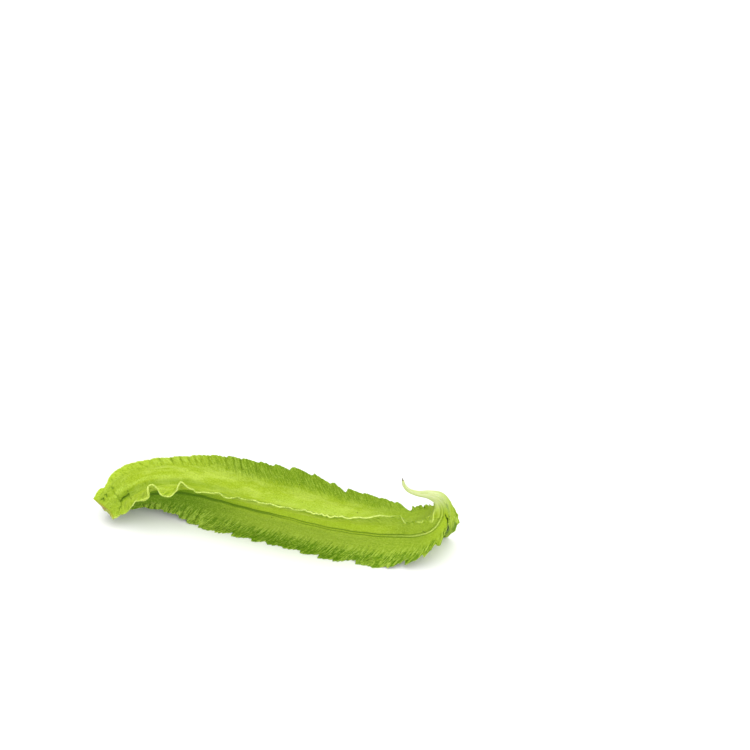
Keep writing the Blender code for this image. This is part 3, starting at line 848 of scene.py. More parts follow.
@dataclass
class PodSkin:
    """The pod's fine skin: a tube lofted along the pod, welded down its length and closed at both ends."""

    form: PodForm = field(default_factory=PodForm)
    plan: SectionPlan = field(default_factory=SectionPlan)
    ring_gap: float = 0.385
    tip_gap: float = 0.5
    weld: float = 0.004
    rim_band: int = 2
    cut_rings: tuple[tuple[float, float], ...] = ((0.9, 0.0), (0.75, 0.5), (0.5, 0.9), (0.25, 1.0))

    def skin_field(self, along: np.ndarray) -> SkinField:
        """Work out the skin's points and attributes.

        Args:
            along: Distances of the sections along the pod.

        Returns:
            The skin's field, with places that go once round each section.
        """
        form = self.form
        steps = np.array(self.plan.wing_steps)
        sides = [form.wing_sides(wing, along, steps) for wing in form.wings]
        half = form.body.half_at(along)[:, None]
        middle = form.line.at(along)[0][:, None]
        columns: list[Columns] = []
        for wing in form.wings:
            own, following = sides[wing.wing], sides[(wing.wing + 1) % len(sides)]
            columns.append(self.wing_columns(wing, own, along, steps))
            columns.append(self.face_columns(wing.wing, own, following, along, half, middle))
        skin = SkinField(**{key: np.concatenate([c[key] for c in columns], axis=1) for key in columns[0]})
        self.round_beak(skin, along, half, middle)
        self.slant_cut(skin, along, middle)
        return skin

    def wing_columns(self, wing: WingForm, sides: tuple[np.ndarray, ...], along: np.ndarray,
                     steps: np.ndarray) -> Columns:
        """Lay the skin over a wing: up its near side, over its rim and down its far side.

        Args:
            wing: The wing.
            sides: Its middle surface, near side, rim and far side.
            along: Distances of the sections along the pod.
            steps: Shares of the wing's length.

        Returns:
            The skin's points and attributes there.
        """
        share = np.concatenate([steps, [1.0], steps[::-1]])[None, :]
        spread = np.tile(along[:, None], (1, share.shape[1]))
        # How pale each rim is: the skin's own pale edge, partly painted highlight.
        edge = np.zeros_like(spread)
        edge[:, len(steps) - self.rim_band:len(steps) + self.rim_band + 1] = (
            read_table(wing.rim_pale_and_highlight, 1, along)[:, None])
        # Painted shade in the dents, and in the creases on the far side only.
        far_side = (np.arange(share.shape[1]) > len(steps))[None, :]
        creases = creased(wing.creases, spread, share, wing.length(spread), CREASE_SHADE) * far_side
        return {
            "points": np.concatenate([sides[1], sides[2], sides[3][:, ::-1]], axis=1),
            "share": np.broadcast_to(share * wing.tint, spread.shape),
            "shaded_groove": dented(wing.dents, spread, share, DENT_SHADE) + creases,
            "vein_and_shading": wing.shade(spread, share),
            "low": np.full_like(spread, 1.0 if wing.table_side else 0.0),
            "rim": edge,
            "lean": wing.vein_lean * wing.length(spread) * share}

    def slant_cut(self, skin: SkinField, along: np.ndarray, middle: np.ndarray) -> None:
        """Draw the back of the stem end out, so that the pod is cut slantwise.

        Args:
            skin: The skin, changed in place.
            along: Distances of the sections along the pod.
            middle: The sections' middle points.
        """
        form = self.form
        _, back, up, ahead = (rows[:, None] for rows in form.line.at(along))
        aim = math.radians(form.cut_aim)
        side = ((skin.points - middle) * (back * math.cos(aim) + up * math.sin(aim))).sum(-1)
        share = np.clip(side / form.cut_reach, form.cut_front, 1) * (1 - ease(along / form.cut_run))[:, None]
        skin.points = skin.points - ahead * (share * form.cut_slant)[..., None]

    def round_beak(self, skin: SkinField, along: np.ndarray, half: np.ndarray, middle: np.ndarray) -> None:
        """Round the sections off towards the beak, where the corners and wings have run out.

        Args:
            skin: The skin, changed in place.
            along: Distances of the sections along the pod.
            half: The body's half width, by section.
            middle: The sections' middle points.
        """
        form = self.form
        share = ease((along - form.beak_from) / (form.beak_full - form.beak_from))[:, None, None]
        out = skin.points - middle
        distance = np.linalg.norm(out, axis=-1, keepdims=True)
        radius = half[..., None] * form.beak_radius
        over = np.maximum(distance - radius * form.beak_slack, 0)
        rounded = middle + out / distance * (radius + over)
        skin.points = skin.points + (rounded - skin.points) * share

    def face_columns(self, wing: Wing, sides: tuple[np.ndarray, ...], following: tuple[np.ndarray, ...],
                     along: np.ndarray, half: np.ndarray, middle: np.ndarray) -> Columns:
        """Lay the skin over the face between a wing and the next one.

        Args:
            wing: Which wing the face follows.
            sides: The wing's middle surface, near side, rim and far side.
            following: The next wing's.
            along: Distances of the sections along the pod.
            half: The body's half width, by section.
            middle: The sections' middle points.

        Returns:
            The skin's points and attributes there.
        """
        form = self.form
        start, end = sides[3][:, 0], following[1][:, 0]
        start_way, end_way = (
            unit(sheet[:, 1] - sheet[:, 0]) * form.body.channel * half for sheet in (sides[0], following[0]))
        if wing in (Wing.BACK_TOP, Wing.FRONT_BOTTOM):
            shares, lift, paints = self.side_face(wing, along, half, np.linalg.norm(end - start, axis=1))
        else:
            shares, lift, paints = self.plain_face(wing, along)
        points = form.face(start, -start_way, end, end_way, shares)
        points = points + unit(points - middle) * lift[..., None]
        return {"points": points, "share": np.zeros_like(shares), "lean": np.zeros_like(shares), **paints}

    def side_face(self, wing: Wing, along: np.ndarray, half: np.ndarray,
                  width: np.ndarray) -> tuple[np.ndarray, np.ndarray, Columns]:
        """Lay out a side face: its seam and seeds, and the front one's creases, which are painted shadow
        only.

        Args:
            wing: Which wing the face follows.
            along: Distances of the sections along the pod.
            half: The body's half width, by section.
            width: The face's width, by section.

        Returns:
            The shares of its width where it has points, the height there, and the attributes.
        """
        form, front = self.form, wing is Wing.FRONT_BOTTOM
        shares, off = self.plan.seam_shares(width, form.seam.centre_at(along, front))
        spread = np.tile(along[:, None], (1, shares.shape[1]))
        lift = form.seam.relief(spread, off) * np.minimum(half / form.seam.full_depth_half, 1)
        lift = lift + form.body.seeds(spread) * np.sin(np.pi * shares) ** 2
        # Painted shade in the seam's grooves, and in the front face's creases.
        shaded_groove = form.seam.paint(spread, off)
        if front:
            shaded_groove = shaded_groove + creased(form.body.side_creases, spread, shares, width[:, None], CREASE_SHADE)
        return shares, lift, {
            "shaded_groove": shaded_groove, "vein_and_shading": np.zeros_like(off), "low": 1 - shares if front else shares,
            "rim": form.seam.cord(spread, off)}

    def plain_face(self, wing: Wing, along: np.ndarray) -> tuple[np.ndarray, np.ndarray, Columns]:
        """Lay out the top face with its crest, creases and painted highlight and shade, or the plain face
        under the pod.

        Args:
            wing: Which wing the face follows.
            along: Distances of the sections along the pod.

        Returns:
            The shares of its width where it has points, the height there, and the attributes.
        """
        body = self.form.body
        shares = self.plan.plain_shares(wing, len(along))
        none = np.zeros_like(shares)
        if wing is Wing.BACK_BOTTOM:
            return shares, none, {"shaded_groove": none, "vein_and_shading": none, "low": np.ones_like(shares), "rim": none}
        spread = np.tile(along[:, None], (1, shares.shape[1]))
        # Painted shade in the top face's creases.
        shaded_groove = creased(body.top_creases, spread, shares, 2 * body.half_at(spread), CREASE_SHADE)
        return shares, body.top_relief(spread, shares), {
            "shaded_groove": shaded_groove, "vein_and_shading": body.top_shade(spread, shares), "low": none, "rim": none}

    def build(self, finish: "PodSkinFinish") -> bpy.types.Object:
        """Make the skin and dress it.

        Args:
            finish: The finish of its surface.

        Returns:
            The skin, in place.
        """
        last = self.form.line.length - self.tip_gap
        along = np.linspace(0, last, round(last / self.ring_gap) + 1)
        skin = self.skin_field(along)
        points = skin.points
        points[..., 2] = np.maximum(points[..., 2], 0)
        rings, places = points.shape[:2]
        bpy.ops.mesh.primitive_grid_add(x_subdivisions=rings - 1, y_subdivisions=places, size=1)
        obj = bpy.context.object
        obj.name = obj.data.name = "pod_skin"
        rolled = self.rolled(points)
        obj.data.vertices.foreach_set("co", (rolled * MM).astype(np.float32).ravel())
        self.add_attributes(obj.data, skin, along)
        self.close(obj)
        obj.data.materials.append(finish.material())
        return obj

    @staticmethod
    def rolled(values: np.ndarray) -> np.ndarray:
        """Return values by section and place in the grid's own order, the first place again at the end."""
        closed = np.concatenate([values, values[:, :1]], axis=1)
        return np.ascontiguousarray(np.swapaxes(closed, 0, 1)).reshape(-1, *values.shape[2:])

    def add_attributes(self, mesh: bpy.types.Mesh, skin: SkinField, along: np.ndarray) -> None:
        """Store what the finish reads: place on the skin, share of the wing, painted shade of grooves, veins
        with painted shading, and underside.

        Args:
            mesh: The skin's mesh.
            skin: The skin's field.
            along: Distances of the sections along the pod.
        """
        rings, places = skin.share.shape
        sample = skin.points[rings // 2]
        steps = np.linalg.norm(np.diff(np.vstack([sample, sample[:1]]), axis=0), axis=1)
        girth = steps.sum()
        turn = 2 * np.pi * np.concatenate([[0], np.cumsum(steps)[:-1]]) / girth
        radius = girth / (2 * np.pi)
        spot = np.empty((rings, places, 3))
        spot[..., 0] = along[:, None] + skin.lean
        spot[..., 1] = radius * np.cos(turn)[None, :]
        spot[..., 2] = radius * np.sin(turn)[None, :]
        store = mesh.attributes.new("skin_place", "FLOAT_VECTOR", "POINT")
        store.data.foreach_set("vector", self.rolled(spot).astype(np.float32).ravel())
        plain = {"share": skin.share, "shaded_groove": skin.shaded_groove, "vein_and_shading": skin.vein_and_shading, "low": skin.low,
                 "rim": skin.rim, "along": np.tile(along[:, None], (1, places))}
        for name, values in plain.items():
            store = mesh.attributes.new(name, "FLOAT", "POINT")
            store.data.foreach_set("value", self.rolled(values).astype(np.float32))

    def close(self, obj: bpy.types.Object) -> None:
        """Weld the tube down its length, turn its stem end in to a dished cut, and close its beak.

        Args:
            obj: The tube.
        """
        edit(obj)
        bpy.ops.mesh.select_all(action="SELECT")
        bpy.ops.mesh.remove_doubles(threshold=self.weld * MM)
        for closing in Closing:
            end = Vector(self.form.line.line[0 if closing is Closing.CUT else -1]) * MM
            self.select_end(obj, end)
            if closing is Closing.CUT:
                self.dish(end)
            else:
                bpy.ops.mesh.extrude_edges_move(TRANSFORM_OT_translate={"value": (0, 0, 0)})
            bpy.ops.mesh.merge(type="CENTER")
        bpy.ops.mesh.select_all(action="SELECT")
        bpy.ops.mesh.normals_make_consistent(inside=False)
        bpy.ops.object.mode_set(mode="OBJECT")
        bpy.ops.object.shade_smooth()

    @staticmethod
    def select_end(obj: bpy.types.Object, end: Vector) -> None:
        """Select the open ring of edges at an end, in edit mode.

        Args:
            obj: The tube, in edit mode.
            end: The middle of that end, in metres.
        """
        bpy.ops.mesh.select_all(action="DESELECT")
        bpy.ops.mesh.select_mode(type="EDGE")
        bpy.ops.mesh.select_non_manifold(extend=False, use_wire=False, use_multi_face=False,
                                         use_non_contiguous=False, use_verts=False)
        bpy.ops.object.mode_set(mode="OBJECT")
        keep_ring(obj.data, end)
        bpy.ops.object.mode_set(mode="EDIT")

    def dish(self, end: Vector) -> None:
        """Turn the selected ring in, ring by ring, to a shallow dish.

        Args:
            end: The middle of the stem end, in metres.
        """
        into = Vector(self.form.line.ahead[0])
        done, depth = 1.0, 0.0
        for share, deep in self.cut_rings:
            bpy.ops.mesh.extrude_edges_move(TRANSFORM_OT_translate={"value": into * (deep - depth) * MM})
            bpy.ops.transform.resize(value=(share / done,) * 3, center_override=end + into * deep * MM)
            done, depth = share, deep


@dataclass
class StemScar:
    """Dried plug of fibres in the middle of the pod's cut end."""

    line: MiddleLine = field(default_factory=MiddleLine)
    radius: float = 1.5
    depth: float = 1.1
    sunk: float = 0.9
    sides: int = 40
    lip: float = 0.35
    hollow: float = 0.3
    fibre_every: int = 3
    fibre_share: float = 0.9
    end_facing: float = 0.9

    def build(self, finish: "DryFinish") -> bpy.types.Object:
        """Make the plug and dress it.

        Args:
            finish: The finish of its fibres.

        Returns:
            The plug, in place.
        """
        out = -Vector(self.line.ahead[0])
        middle = Vector(self.line.line[0]) * MM + out * (self.depth / 2 - self.sunk) * MM
        bpy.ops.object.select_all(action="DESELECT")
        bpy.ops.mesh.primitive_cylinder_add(
            vertices=self.sides, radius=self.radius * MM, depth=self.depth * MM, location=middle,
            rotation=out.to_track_quat("Z", "Y").to_euler())
        obj = bpy.context.object
        obj.name = obj.data.name = "stem_scar"
        bpy.ops.object.transform_apply(location=True, rotation=True, scale=True)
        self.hollow_out(obj, out)
        self.draw_in_fibres(obj, middle, out)
        soften(obj)
        obj.data.materials.append(finish.material("dried_fibre"))
        return obj

    def hollow_out(self, obj: bpy.types.Object, out: Vector) -> None:
        """Press the middle of the plug's outer end in, inside a low lip.

        Args:
            obj: The plug.
            out: The way out of the stem end.
        """
        edit(obj)
        bpy.ops.mesh.select_mode(type="FACE")
        bpy.ops.mesh.select_all(action="DESELECT")
        bpy.ops.object.mode_set(mode="OBJECT")
        for face in obj.data.polygons:
            face.select = face.normal.dot(out) > self.end_facing
        bpy.ops.object.mode_set(mode="EDIT")
        for inset, push in ((self.lip, 0.0), (self.lip / 2, -self.hollow), (self.lip, self.hollow / 2)):
            bpy.ops.mesh.inset(thickness=inset * MM, depth=push * MM)
        bpy.ops.object.mode_set(mode="OBJECT")

    def draw_in_fibres(self, obj: bpy.types.Object, middle: Vector, out: Vector) -> None:
        """Draw every few of the plug's outer points in, which leaves ribs of fibre between them.

        Args:
            obj: The plug.
            middle: Its middle, in metres.
            out: The way out of the stem end.
        """
        for vertex in obj.data.vertices:
            if vertex.index // 2 % self.fibre_every == 0:
                off = vertex.co - middle
                level = out * off.dot(out)
                vertex.co = middle + level + (off - level) * self.fibre_share


@dataclass
class StyleTip:
    """Dry rest of the flower at the very tip of the beak."""

    line: MiddleLine = field(default_factory=MiddleLine)
    root_radius: float = 0.36
    tip_radius: float = 0.16
    length: float = 1.9
    sunk: float = 0.9
    sides: int = 16
    cuts: int = 3
    wither: float = 0.06
    wither_turn: float = 1.7

    def build(self, finish: "DryFinish") -> bpy.types.Object:
        """Make the tip and dress it.

        Args:
            finish: The finish of its dry skin.

        Returns:
            The tip, in place.
        """
        ahead = Vector(self.line.ahead[-1])
        middle = Vector(self.line.line[-1]) * MM + ahead * (self.length / 2 - self.sunk) * MM
        bpy.ops.object.select_all(action="DESELECT")
        bpy.ops.mesh.primitive_cone_add(
            vertices=self.sides, radius1=self.root_radius * MM, radius2=self.tip_radius * MM,
            depth=self.length * MM, location=middle, rotation=ahead.to_track_quat("Z", "Y").to_euler())
        obj = bpy.context.object
        obj.name = obj.data.name = "style_tip"
        bpy.ops.object.transform_apply(location=True, rotation=True, scale=True)
        edit(obj)
        bpy.ops.mesh.select_all(action="SELECT")
        bpy.ops.mesh.subdivide(number_cuts=self.cuts)
        bpy.ops.object.mode_set(mode="OBJECT")
        for vertex in obj.data.vertices:
            turn = (vertex.co - middle).dot(ahead) / (self.length * MM) * 2 * math.pi
            vertex.co += Vector((math.sin(turn), math.cos(self.wither_turn * turn), 0)) * self.wither * MM
        soften(obj)
        obj.data.materials.append(finish.material("dried_tip"))
        return obj


def soften(obj: bpy.types.Object) -> None:
    """Round a small piece's edges with one applied subdivision, and shade it smooth.

    Args:
        obj: The piece.
    """
    bpy.ops.object.select_all(action="DESELECT")
    obj.select_set(True)
    bpy.context.view_layer.objects.active = obj
    rounding = obj.modifiers.new("rounding", "SUBSURF")
    rounding.levels = rounding.render_levels = 1
    bpy.ops.object.modifier_apply(modifier=rounding.name)
    bpy.ops.object.shade_smooth()


def edit(obj: bpy.types.Object) -> None:
    """Make an object the only selected one and go into its edit mode.

    Args:
        obj: The object.
    """
    bpy.ops.object.select_all(action="DESELECT")
    obj.select_set(True)
    bpy.context.view_layer.objects.active = obj
    bpy.ops.object.mode_set(mode="EDIT")


def keep_ring(mesh: bpy.types.Mesh, near: Vector) -> None:
    """Of the selected edges, keep the ring whose points are within reach of a place.

    Args:
        mesh: The mesh, out of edit mode.
        near: The place, in metres.
    """
    close = [(v.co - near).length < END_REACH * MM for v in mesh.vertices]
    for edge in mesh.edges:
        edge.select = edge.select and all(close[i] for i in edge.vertices)
    for vertex in mesh.vertices:
        vertex.select = False
    for edge in mesh.edges:
        if edge.select:
            for i in edge.vertices:
                mesh.vertices[i].select = True


def linear(red: int, green: int, blue: int) -> tuple[float, float, float, float]:
    """Return a colour picked on a screen as the shader's linear colour."""
    parts = [channel / 255 for channel in (red, green, blue)]
    parts = [part / 12.92 if part <= 0.04045 else ((part + 0.055) / 1.055) ** 2.4 for part in parts]
    return (*parts, 1.0)


class Signal:
    """A socket of a material, on which Python's own operators add Math nodes."""

    def __init__(self, graph: "Graph", socket: bpy.types.NodeSocket) -> None:
        """Hold the socket and the graph that it is in."""
        self.graph = graph
        self.socket = socket

    def maths(self, operation: str, *values: Any, clamp: bool = False) -> "Signal":
        """Add a Math node.

        Args:
            operation: Its operation.
            values: Its inputs, signals or numbers, in order.
            clamp: Whether its result is kept from 0 to 1.

        Returns:
            Its result.
        """
        node = self.graph.node("ShaderNodeMath", {"operation": operation, "use_clamp": clamp},
                               dict(enumerate(values)))
        return Signal(self.graph, node.outputs[0])

    def __add__(self, other: Any) -> "Signal":
        """Add."""
        return self.maths("ADD", self, other)

    def __radd__(self, other: Any) -> "Signal":
        """Add, with the number first."""
        return self.maths("ADD", other, self)

    def __sub__(self, other: Any) -> "Signal":
        """Subtract."""
        return self.maths("SUBTRACT", self, other)

    def __rsub__(self, other: Any) -> "Signal":
        """Subtract from a number."""
        return self.maths("SUBTRACT", other, self)

    def __mul__(self, other: Any) -> "Signal":
        """Multiply."""
        return self.maths("MULTIPLY", self, other)

    def __rmul__(self, other: Any) -> "Signal":
        """Multiply, with the number first."""
        return self.maths("MULTIPLY", other, self)

    def step(self, low: float, high: float) -> "Signal":
        """Return 0 at low, 1 at high and a smooth step between; low may be the larger."""
        node = self.graph.node(
            "ShaderNodeMapRange", {"interpolation_type": "SMOOTHSTEP", "clamp": True},
            {"Value": self, "From Min": min(low, high), "From Max": max(low, high),
             "To Min": float(low > high), "To Max": float(low < high)})
        return Signal(self.graph, node.outputs[0])

    def within(self, rising: Span, falling: Span) -> "Signal":
        """Return 1 past one step and before another, and 0 outside them."""
        return self.step(*rising) * self.step(*falling)

    def clamped(self) -> "Signal":
        """Return the signal kept from 0 to 1."""
        return self.maths("ADD", self, 0.0, clamp=True)


class Graph:
    """The nodes of one material, with its Principled shader at hand."""

    def __init__(self, name: str) -> None:
        """Start a material with that name."""
        self.material = bpy.data.materials.new(name)
        self.material.use_nodes = True
        self.shader = self.material.node_tree.nodes["Principled BSDF"]

    def node(self, kind: str, settings: dict[str, Any], sockets: dict[Any, Any]) -> bpy.types.Node:
        """Add a node.

        Args:
            kind: Its type.
            settings: Its settings, set first.
            sockets: Values or signals by the name or number of the input.

        Returns:
            The node.
        """
        node = self.material.node_tree.nodes.new(kind)
        for key, value in settings.items():
            setattr(node, key, value)
        for key, value in sockets.items():
            self.feed(node.inputs[key], value)
        return node

    def feed(self, socket: bpy.types.NodeSocket, value: Any) -> None:
        """Link a signal to an input, or set a value on it.

        Args:
            socket: The input.
            value: A signal, a number or a colour.
        """
        if isinstance(value, Signal):
            self.material.node_tree.links.new(value.socket, socket)
        else:
            socket.default_value = value

    def surface(self, colour: Any, roughness: Signal, normal: Signal | None = None) -> None:
        """Feed the shader.

        Args:
            colour: The surface's colour or its signal.
            roughness: Its roughness.
            normal: Its bumped normal, if it has one.
        """
        self.feed(self.shader.inputs["Base Color"], colour)
        self.feed(self.shader.inputs["Roughness"], roughness)
        if normal is not None:
            self.feed(self.shader.inputs["Normal"], normal)

    def attribute(self, name: str, output: str = "Fac") -> Signal:
        """Return an attribute of the mesh."""
        node = self.node("ShaderNodeAttribute", {"attribute_name": name}, {})
        return Signal(self, node.outputs[output])

    def object_place(self) -> Signal:
        """Return the place in the object's own coordinates."""
        return Signal(self, self.node("ShaderNodeTexCoord", {}, {}).outputs["Object"])

    def scaled(self, vector: Signal, factors: tuple[float, float, float], shift: float = 0.0) -> Signal:
        """Return a vector scaled along each axis and shifted along all."""
        node = self.node("ShaderNodeVectorMath", {"operation": "MULTIPLY_ADD"},
                         {0: vector, 1: factors, 2: (shift,) * 3})
        return Signal(self, node.outputs[0])

    def noise(self, vector: Signal, scale: float, detail: float = 3.0, rough: float = 0.5) -> Signal:
        """Return noise from 0 to 1 at a vector."""
        node = self.node("ShaderNodeTexNoise", {"noise_dimensions": "3D"},
                         {"Vector": vector, "Scale": scale, "Detail": detail, "Roughness": rough})
        return Signal(self, node.outputs["Fac"])

    def blend(self, factor: Any, first: Any, second: Any) -> Signal:
        """Blend two colours.

        Args:
            factor: How much of the second, a signal or a number.
            first: A colour or a colour's signal.
            second: A colour or a colour's signal.

        Returns:
            The blended colour.
        """
        node = self.node("ShaderNodeMix", {"data_type": "RGBA", "clamp_factor": True},
                         {"Factor": factor, 6: first, 7: second})
        return Signal(self, node.outputs[2])

    def bump(self, height: Signal, strength: float, distance: float) -> Signal:
        """Return a normal bumped by a height, of which 1 stands for a distance in metres."""
        sockets = {"Height": height, "Strength": strength, "Distance": distance}
        return Signal(self, self.node("ShaderNodeBump", {}, sockets).outputs[0])


@dataclass(frozen=True)
class Pattern:
    """A noise on the skin, scaled along the pod and round it, and shifted so that no two are alike."""

    stretch: tuple[float, float, float]
    shift: float = 0.0
    scale: float = 1.0
    detail: float = 3.0
    rough: float = 0.5

    def laid_out(self, graph: Graph, place: Signal) -> Signal:
        """Return the noise, from 0 to 1, at the place on the skin."""
        return graph.noise(graph.scaled(place, self.stretch, self.shift), self.scale, self.detail, self.rough)


SKIN_PATTERNS = {
    "streak": Pattern((1.0, 0.12, 0.12), scale=1.9, detail=1.5),
    "patch": Pattern((0.22, 0.12, 0.12), 9.0, detail=2.0),
    "fibre": Pattern((0.12, 1.5, 1.5), 5.0, detail=4.0, rough=0.6),
    "mottle": Pattern((0.11, 0.26, 0.26), 7.0),
    "grain": Pattern((1.0, 1.0, 1.0), 3.0, scale=1.7, rough=0.7),
    "speck": Pattern((0.5, 0.5, 0.5), 11.0, detail=1.0)}


@dataclass
class SkinSignals:
    """What the pod's finish reads: the skin's stored attributes, and the patterns laid out over it."""

    along: Signal
    share: Signal
    shaded_groove: Signal
    vein_and_shading: Signal
    low: Signal
    rim: Signal
    streak: Signal
    patch: Signal
    fibre: Signal
    mottle: Signal
    grain: Signal
    speck: Signal


@dataclass(frozen=True)
class PodSkinFinish:
    """Waxy yellow-green skin: streaked along the veins, greener on the lower wings, pale at rims and beak,
    with painted shade in creases, slits and towards the stem, and painted highlight on ridges, the top face
    and rims.

    A span holds two values of what it is read on, a distance along the pod, a share or a noise: the first is
    where its colour is absent and the second where it is full. A name that ends in most, least or more is how
    much of a colour or pattern there is.
    """

    top: tuple[float, ...] = linear(153, 176, 34)
    top_pale: tuple[float, ...] = linear(178, 198, 76)
    wing_outer: tuple[float, ...] = linear(112, 141, 16)
    wing_stem: tuple[float, ...] = linear(168, 192, 44)
    strip: tuple[float, ...] = linear(158, 184, 34)
    low_end: tuple[float, ...] = linear(136, 162, 36)
    low_upper: tuple[float, ...] = linear(143, 168, 46)
    low_outer: tuple[float, ...] = linear(98, 136, 0)
    # Painted shade on the side faces and lower wings towards the stem.
    low_shade: tuple[float, ...] = linear(84, 122, 0)
    # Paler and deeper tones of the skin's streaks and grain, also used as painted highlight on ridges and the
    # crest and painted shade in creases.
    pale_tone_and_highlight: tuple[float, ...] = linear(182, 208, 84)
    deep_tone_and_shade: tuple[float, ...] = linear(74, 116, 0)
    # Painted shade in the seam's grooves, the creases and the dents.
    shaded_groove: tuple[float, ...] = linear(60, 98, 0)
    # Painted shadow in the slits at the hook, between its wings.
    slit_shadow: tuple[float, ...] = linear(18, 30, 0)
    # Pale rim: the skin's own pale edge, partly painted highlight where a rim catches the light.
    rim: tuple[float, ...] = linear(204, 222, 116)
    beak: tuple[float, ...] = linear(184, 200, 118)
    beak_pale: tuple[float, ...] = linear(214, 220, 174)
    cut: tuple[float, ...] = linear(176, 188, 96)
    scar: tuple[float, ...] = linear(158, 112, 36)
    speck: tuple[float, ...] = linear(60, 76, 6)
    wing_foot: Span = (0.03, 0.35)
    outer_wing: Span = (0.25, 0.65)
    low_part: Span = (0.35, 0.8)
    outer_lit_part: Span = (0.3, 0.7)
    outer_lit_start: Span = (40, 66)
    shade_end: Span = (88, 38)
    shade_part: Span = (0.01, 0.12)
    hook_start: Span = (120, 150)
    hook_end: Span = (174, 164)
    outer_part: Span = (0.04, 0.6)
    outer_start: Span = (40, 76)
    outer_end: Span = (178, 116)
    strip_part: Span = (0.05, 0.2)
    strip_start: Span = (20, 50)
    strip_end: Span = (150, 130)
    top_mottle: Span = (0.4, 0.7)
    stem_end: Span = (22, 8)
    stem_wing_part: Span = (0.1, 0.7)
    stem_wing_end: Span = (48, 14)
    low_hook_start: Span = (122, 150)
    low_hook_end: Span = (166, 158)
    low_strip_start: Span = (156, 168)
    outer_first_fade: Span = (110, 152)
    outer_last_fade: Span = (154, 164)
    low_outer_part: Span = (0.2, 0.6)
    low_outer_start: Span = (50, 90)
    top_pale_most: float = 0.8
    hook_most: float = 0.8
    stem_most: float = 0.6
    outer_fades: float = 0.45
    low_outer_lit: float = 0.6
    low_shade_most: float = 0.9
    vein_shading_weight: float = 0.3
    vein_and_shading_most: Span = (0.6, 0.85)
    streak_weight: float = 5.0
    streak_least: float = 0.6
    streak_more_outside: float = 0.9
    streak_end: Span = (132, 165)
    streak_more_at_end: float = 0.7
    fibre_weight: float = 0.8
    crest_weight: float = 0.8
    crest_grain: float = 2.0
    rib_and_shading_most: Span = (1.0, 0.8)
    grain_pale: float = 3.0
    grain_deep: float = 2.8
    grain_more_outside: float = 2.2
    grain_most: float = 0.8
    groove_shade_most: float = 0.8
    slit_shadow_most: float = 1.6
    rim_end: Span = (178, 168)
    rim_grain: Span = (0.42, 0.54)
    rim_least: float = 0.2
    rim_more_on_grain: float = 0.55
    rim_mottle: Span = (0.36, 0.5)
    rim_least_mottle: float = 0.5
    rim_more_on_mottle: float = 0.75
    beak_fibre: Span = (0.42, 0.62)
    beak_start: Span = (172, 184)
    beak_least: float = 0.8
    beak_more_on_grain: float = 0.4
    scar_end: Span = (0.9, 0.2)
    scar_grain: Span = (0.47, 0.62)
    cut_end: Span = (0.12, 0.02)
    cut_most: float = 0.85
    speck_size: Span = (0.735, 0.76)
    speck_most: float = 0.55
    vein_bump: float = 0.5
    grain_bump: float = 0.3
    rib_bump: float = 0.3
    bump_strength: float = 0.5
    bump_m: float = 0.0003
    roughness: float = 0.5
    roughness_spread: float = 0.25
    specular: float = 0.07
    subsurface: float = 0.15
    subsurface_radius: tuple[float, float, float] = (0.9, 1.0, 0.1)
    subsurface_depth_m: float = 0.001

    def material(self) -> bpy.types.Material:
        """Make the material.

        Returns:
            The material, with its colour, roughness and bump from nodes.
        """
        graph = Graph("pod_skin")
        skin = self.read(graph)
        on_wing = skin.share.step(*self.wing_foot)
        outermost = skin.low * skin.share.step(*self.outer_wing)
        # Veins and streaks with the crimps' painted highlight and shade, and fibres with the top face's
        # painted highlight and shade.
        veined_and_shaded = self.veined_and_shaded(skin, outermost) * on_wing
        ribbed_and_shaded = self.ribbed_and_shaded(skin) * (1.0 - on_wing)
        colour = self.toned(graph, self.ground(graph, skin), veined_and_shaded, *self.vein_and_shading_most)
        colour = self.toned(graph, colour, ribbed_and_shaded, *self.rib_and_shading_most)
        colour = self.grained(graph, colour, skin, outermost)
        # Painted shade in the grooves, creases and dents.
        colour = graph.blend(skin.shaded_groove.clamped() * self.groove_shade_most, colour, self.shaded_groove)
        # Painted shadow in the slits at the hook, where the painted shade runs past 1.
        colour = graph.blend((skin.shaded_groove - 1.0).clamped() * self.slit_shadow_most, colour, self.slit_shadow)
        colour = self.edged(graph, colour, skin)
        height = veined_and_shaded * self.vein_bump + skin.grain * self.grain_bump + ribbed_and_shaded * self.rib_bump
        graph.surface(colour, self.roughness + (skin.mottle - 0.5) * self.roughness_spread,
                      graph.bump(height, self.bump_strength, self.bump_m))
        inputs = graph.shader.inputs
        inputs["Subsurface Weight"].default_value = self.subsurface
        inputs["Subsurface Radius"].default_value = self.subsurface_radius
        inputs["Subsurface Scale"].default_value = self.subsurface_depth_m
        inputs["Specular IOR Level"].default_value = self.specular
        return graph.material

    @staticmethod
    def read(graph: Graph) -> SkinSignals:
        """Read the skin's attributes, and lay its patterns out over it.

        Args:
            graph: The material's nodes.

        Returns:
            The signals.
        """
        place = graph.attribute("skin_place", "Vector")
        stored = {name: graph.attribute(name) for name in ("along", "share", "shaded_groove", "vein_and_shading", "low", "rim")}
        laid = {name: pattern.laid_out(graph, place) for name, pattern in SKIN_PATTERNS.items()}
        return SkinSignals(**stored, **laid)

    def veined_and_shaded(self, skin: SkinSignals, outermost: Signal) -> Signal:
        """Work out a wing's veins and streaks, which are strongest on the lower wings' outer parts, with the
        crimps' painted highlight and shade.

        Args:
            skin: What the finish reads.
            outermost: 1 on the lower wings' outer parts.

        Returns:
            Their height: above 0 where they are pale, partly painted highlight on crimp ridges, and below 0
                where deeper, partly painted shade in crimp creases.
        """
        end = skin.along.step(*self.streak_end) * self.streak_more_at_end
        strength = self.streak_least + outermost * (end + self.streak_more_outside)
        streaks = (skin.streak - 0.5) * self.streak_weight * strength
        return skin.vein_and_shading * self.vein_shading_weight + streaks + (skin.patch - 0.5) * skin.low

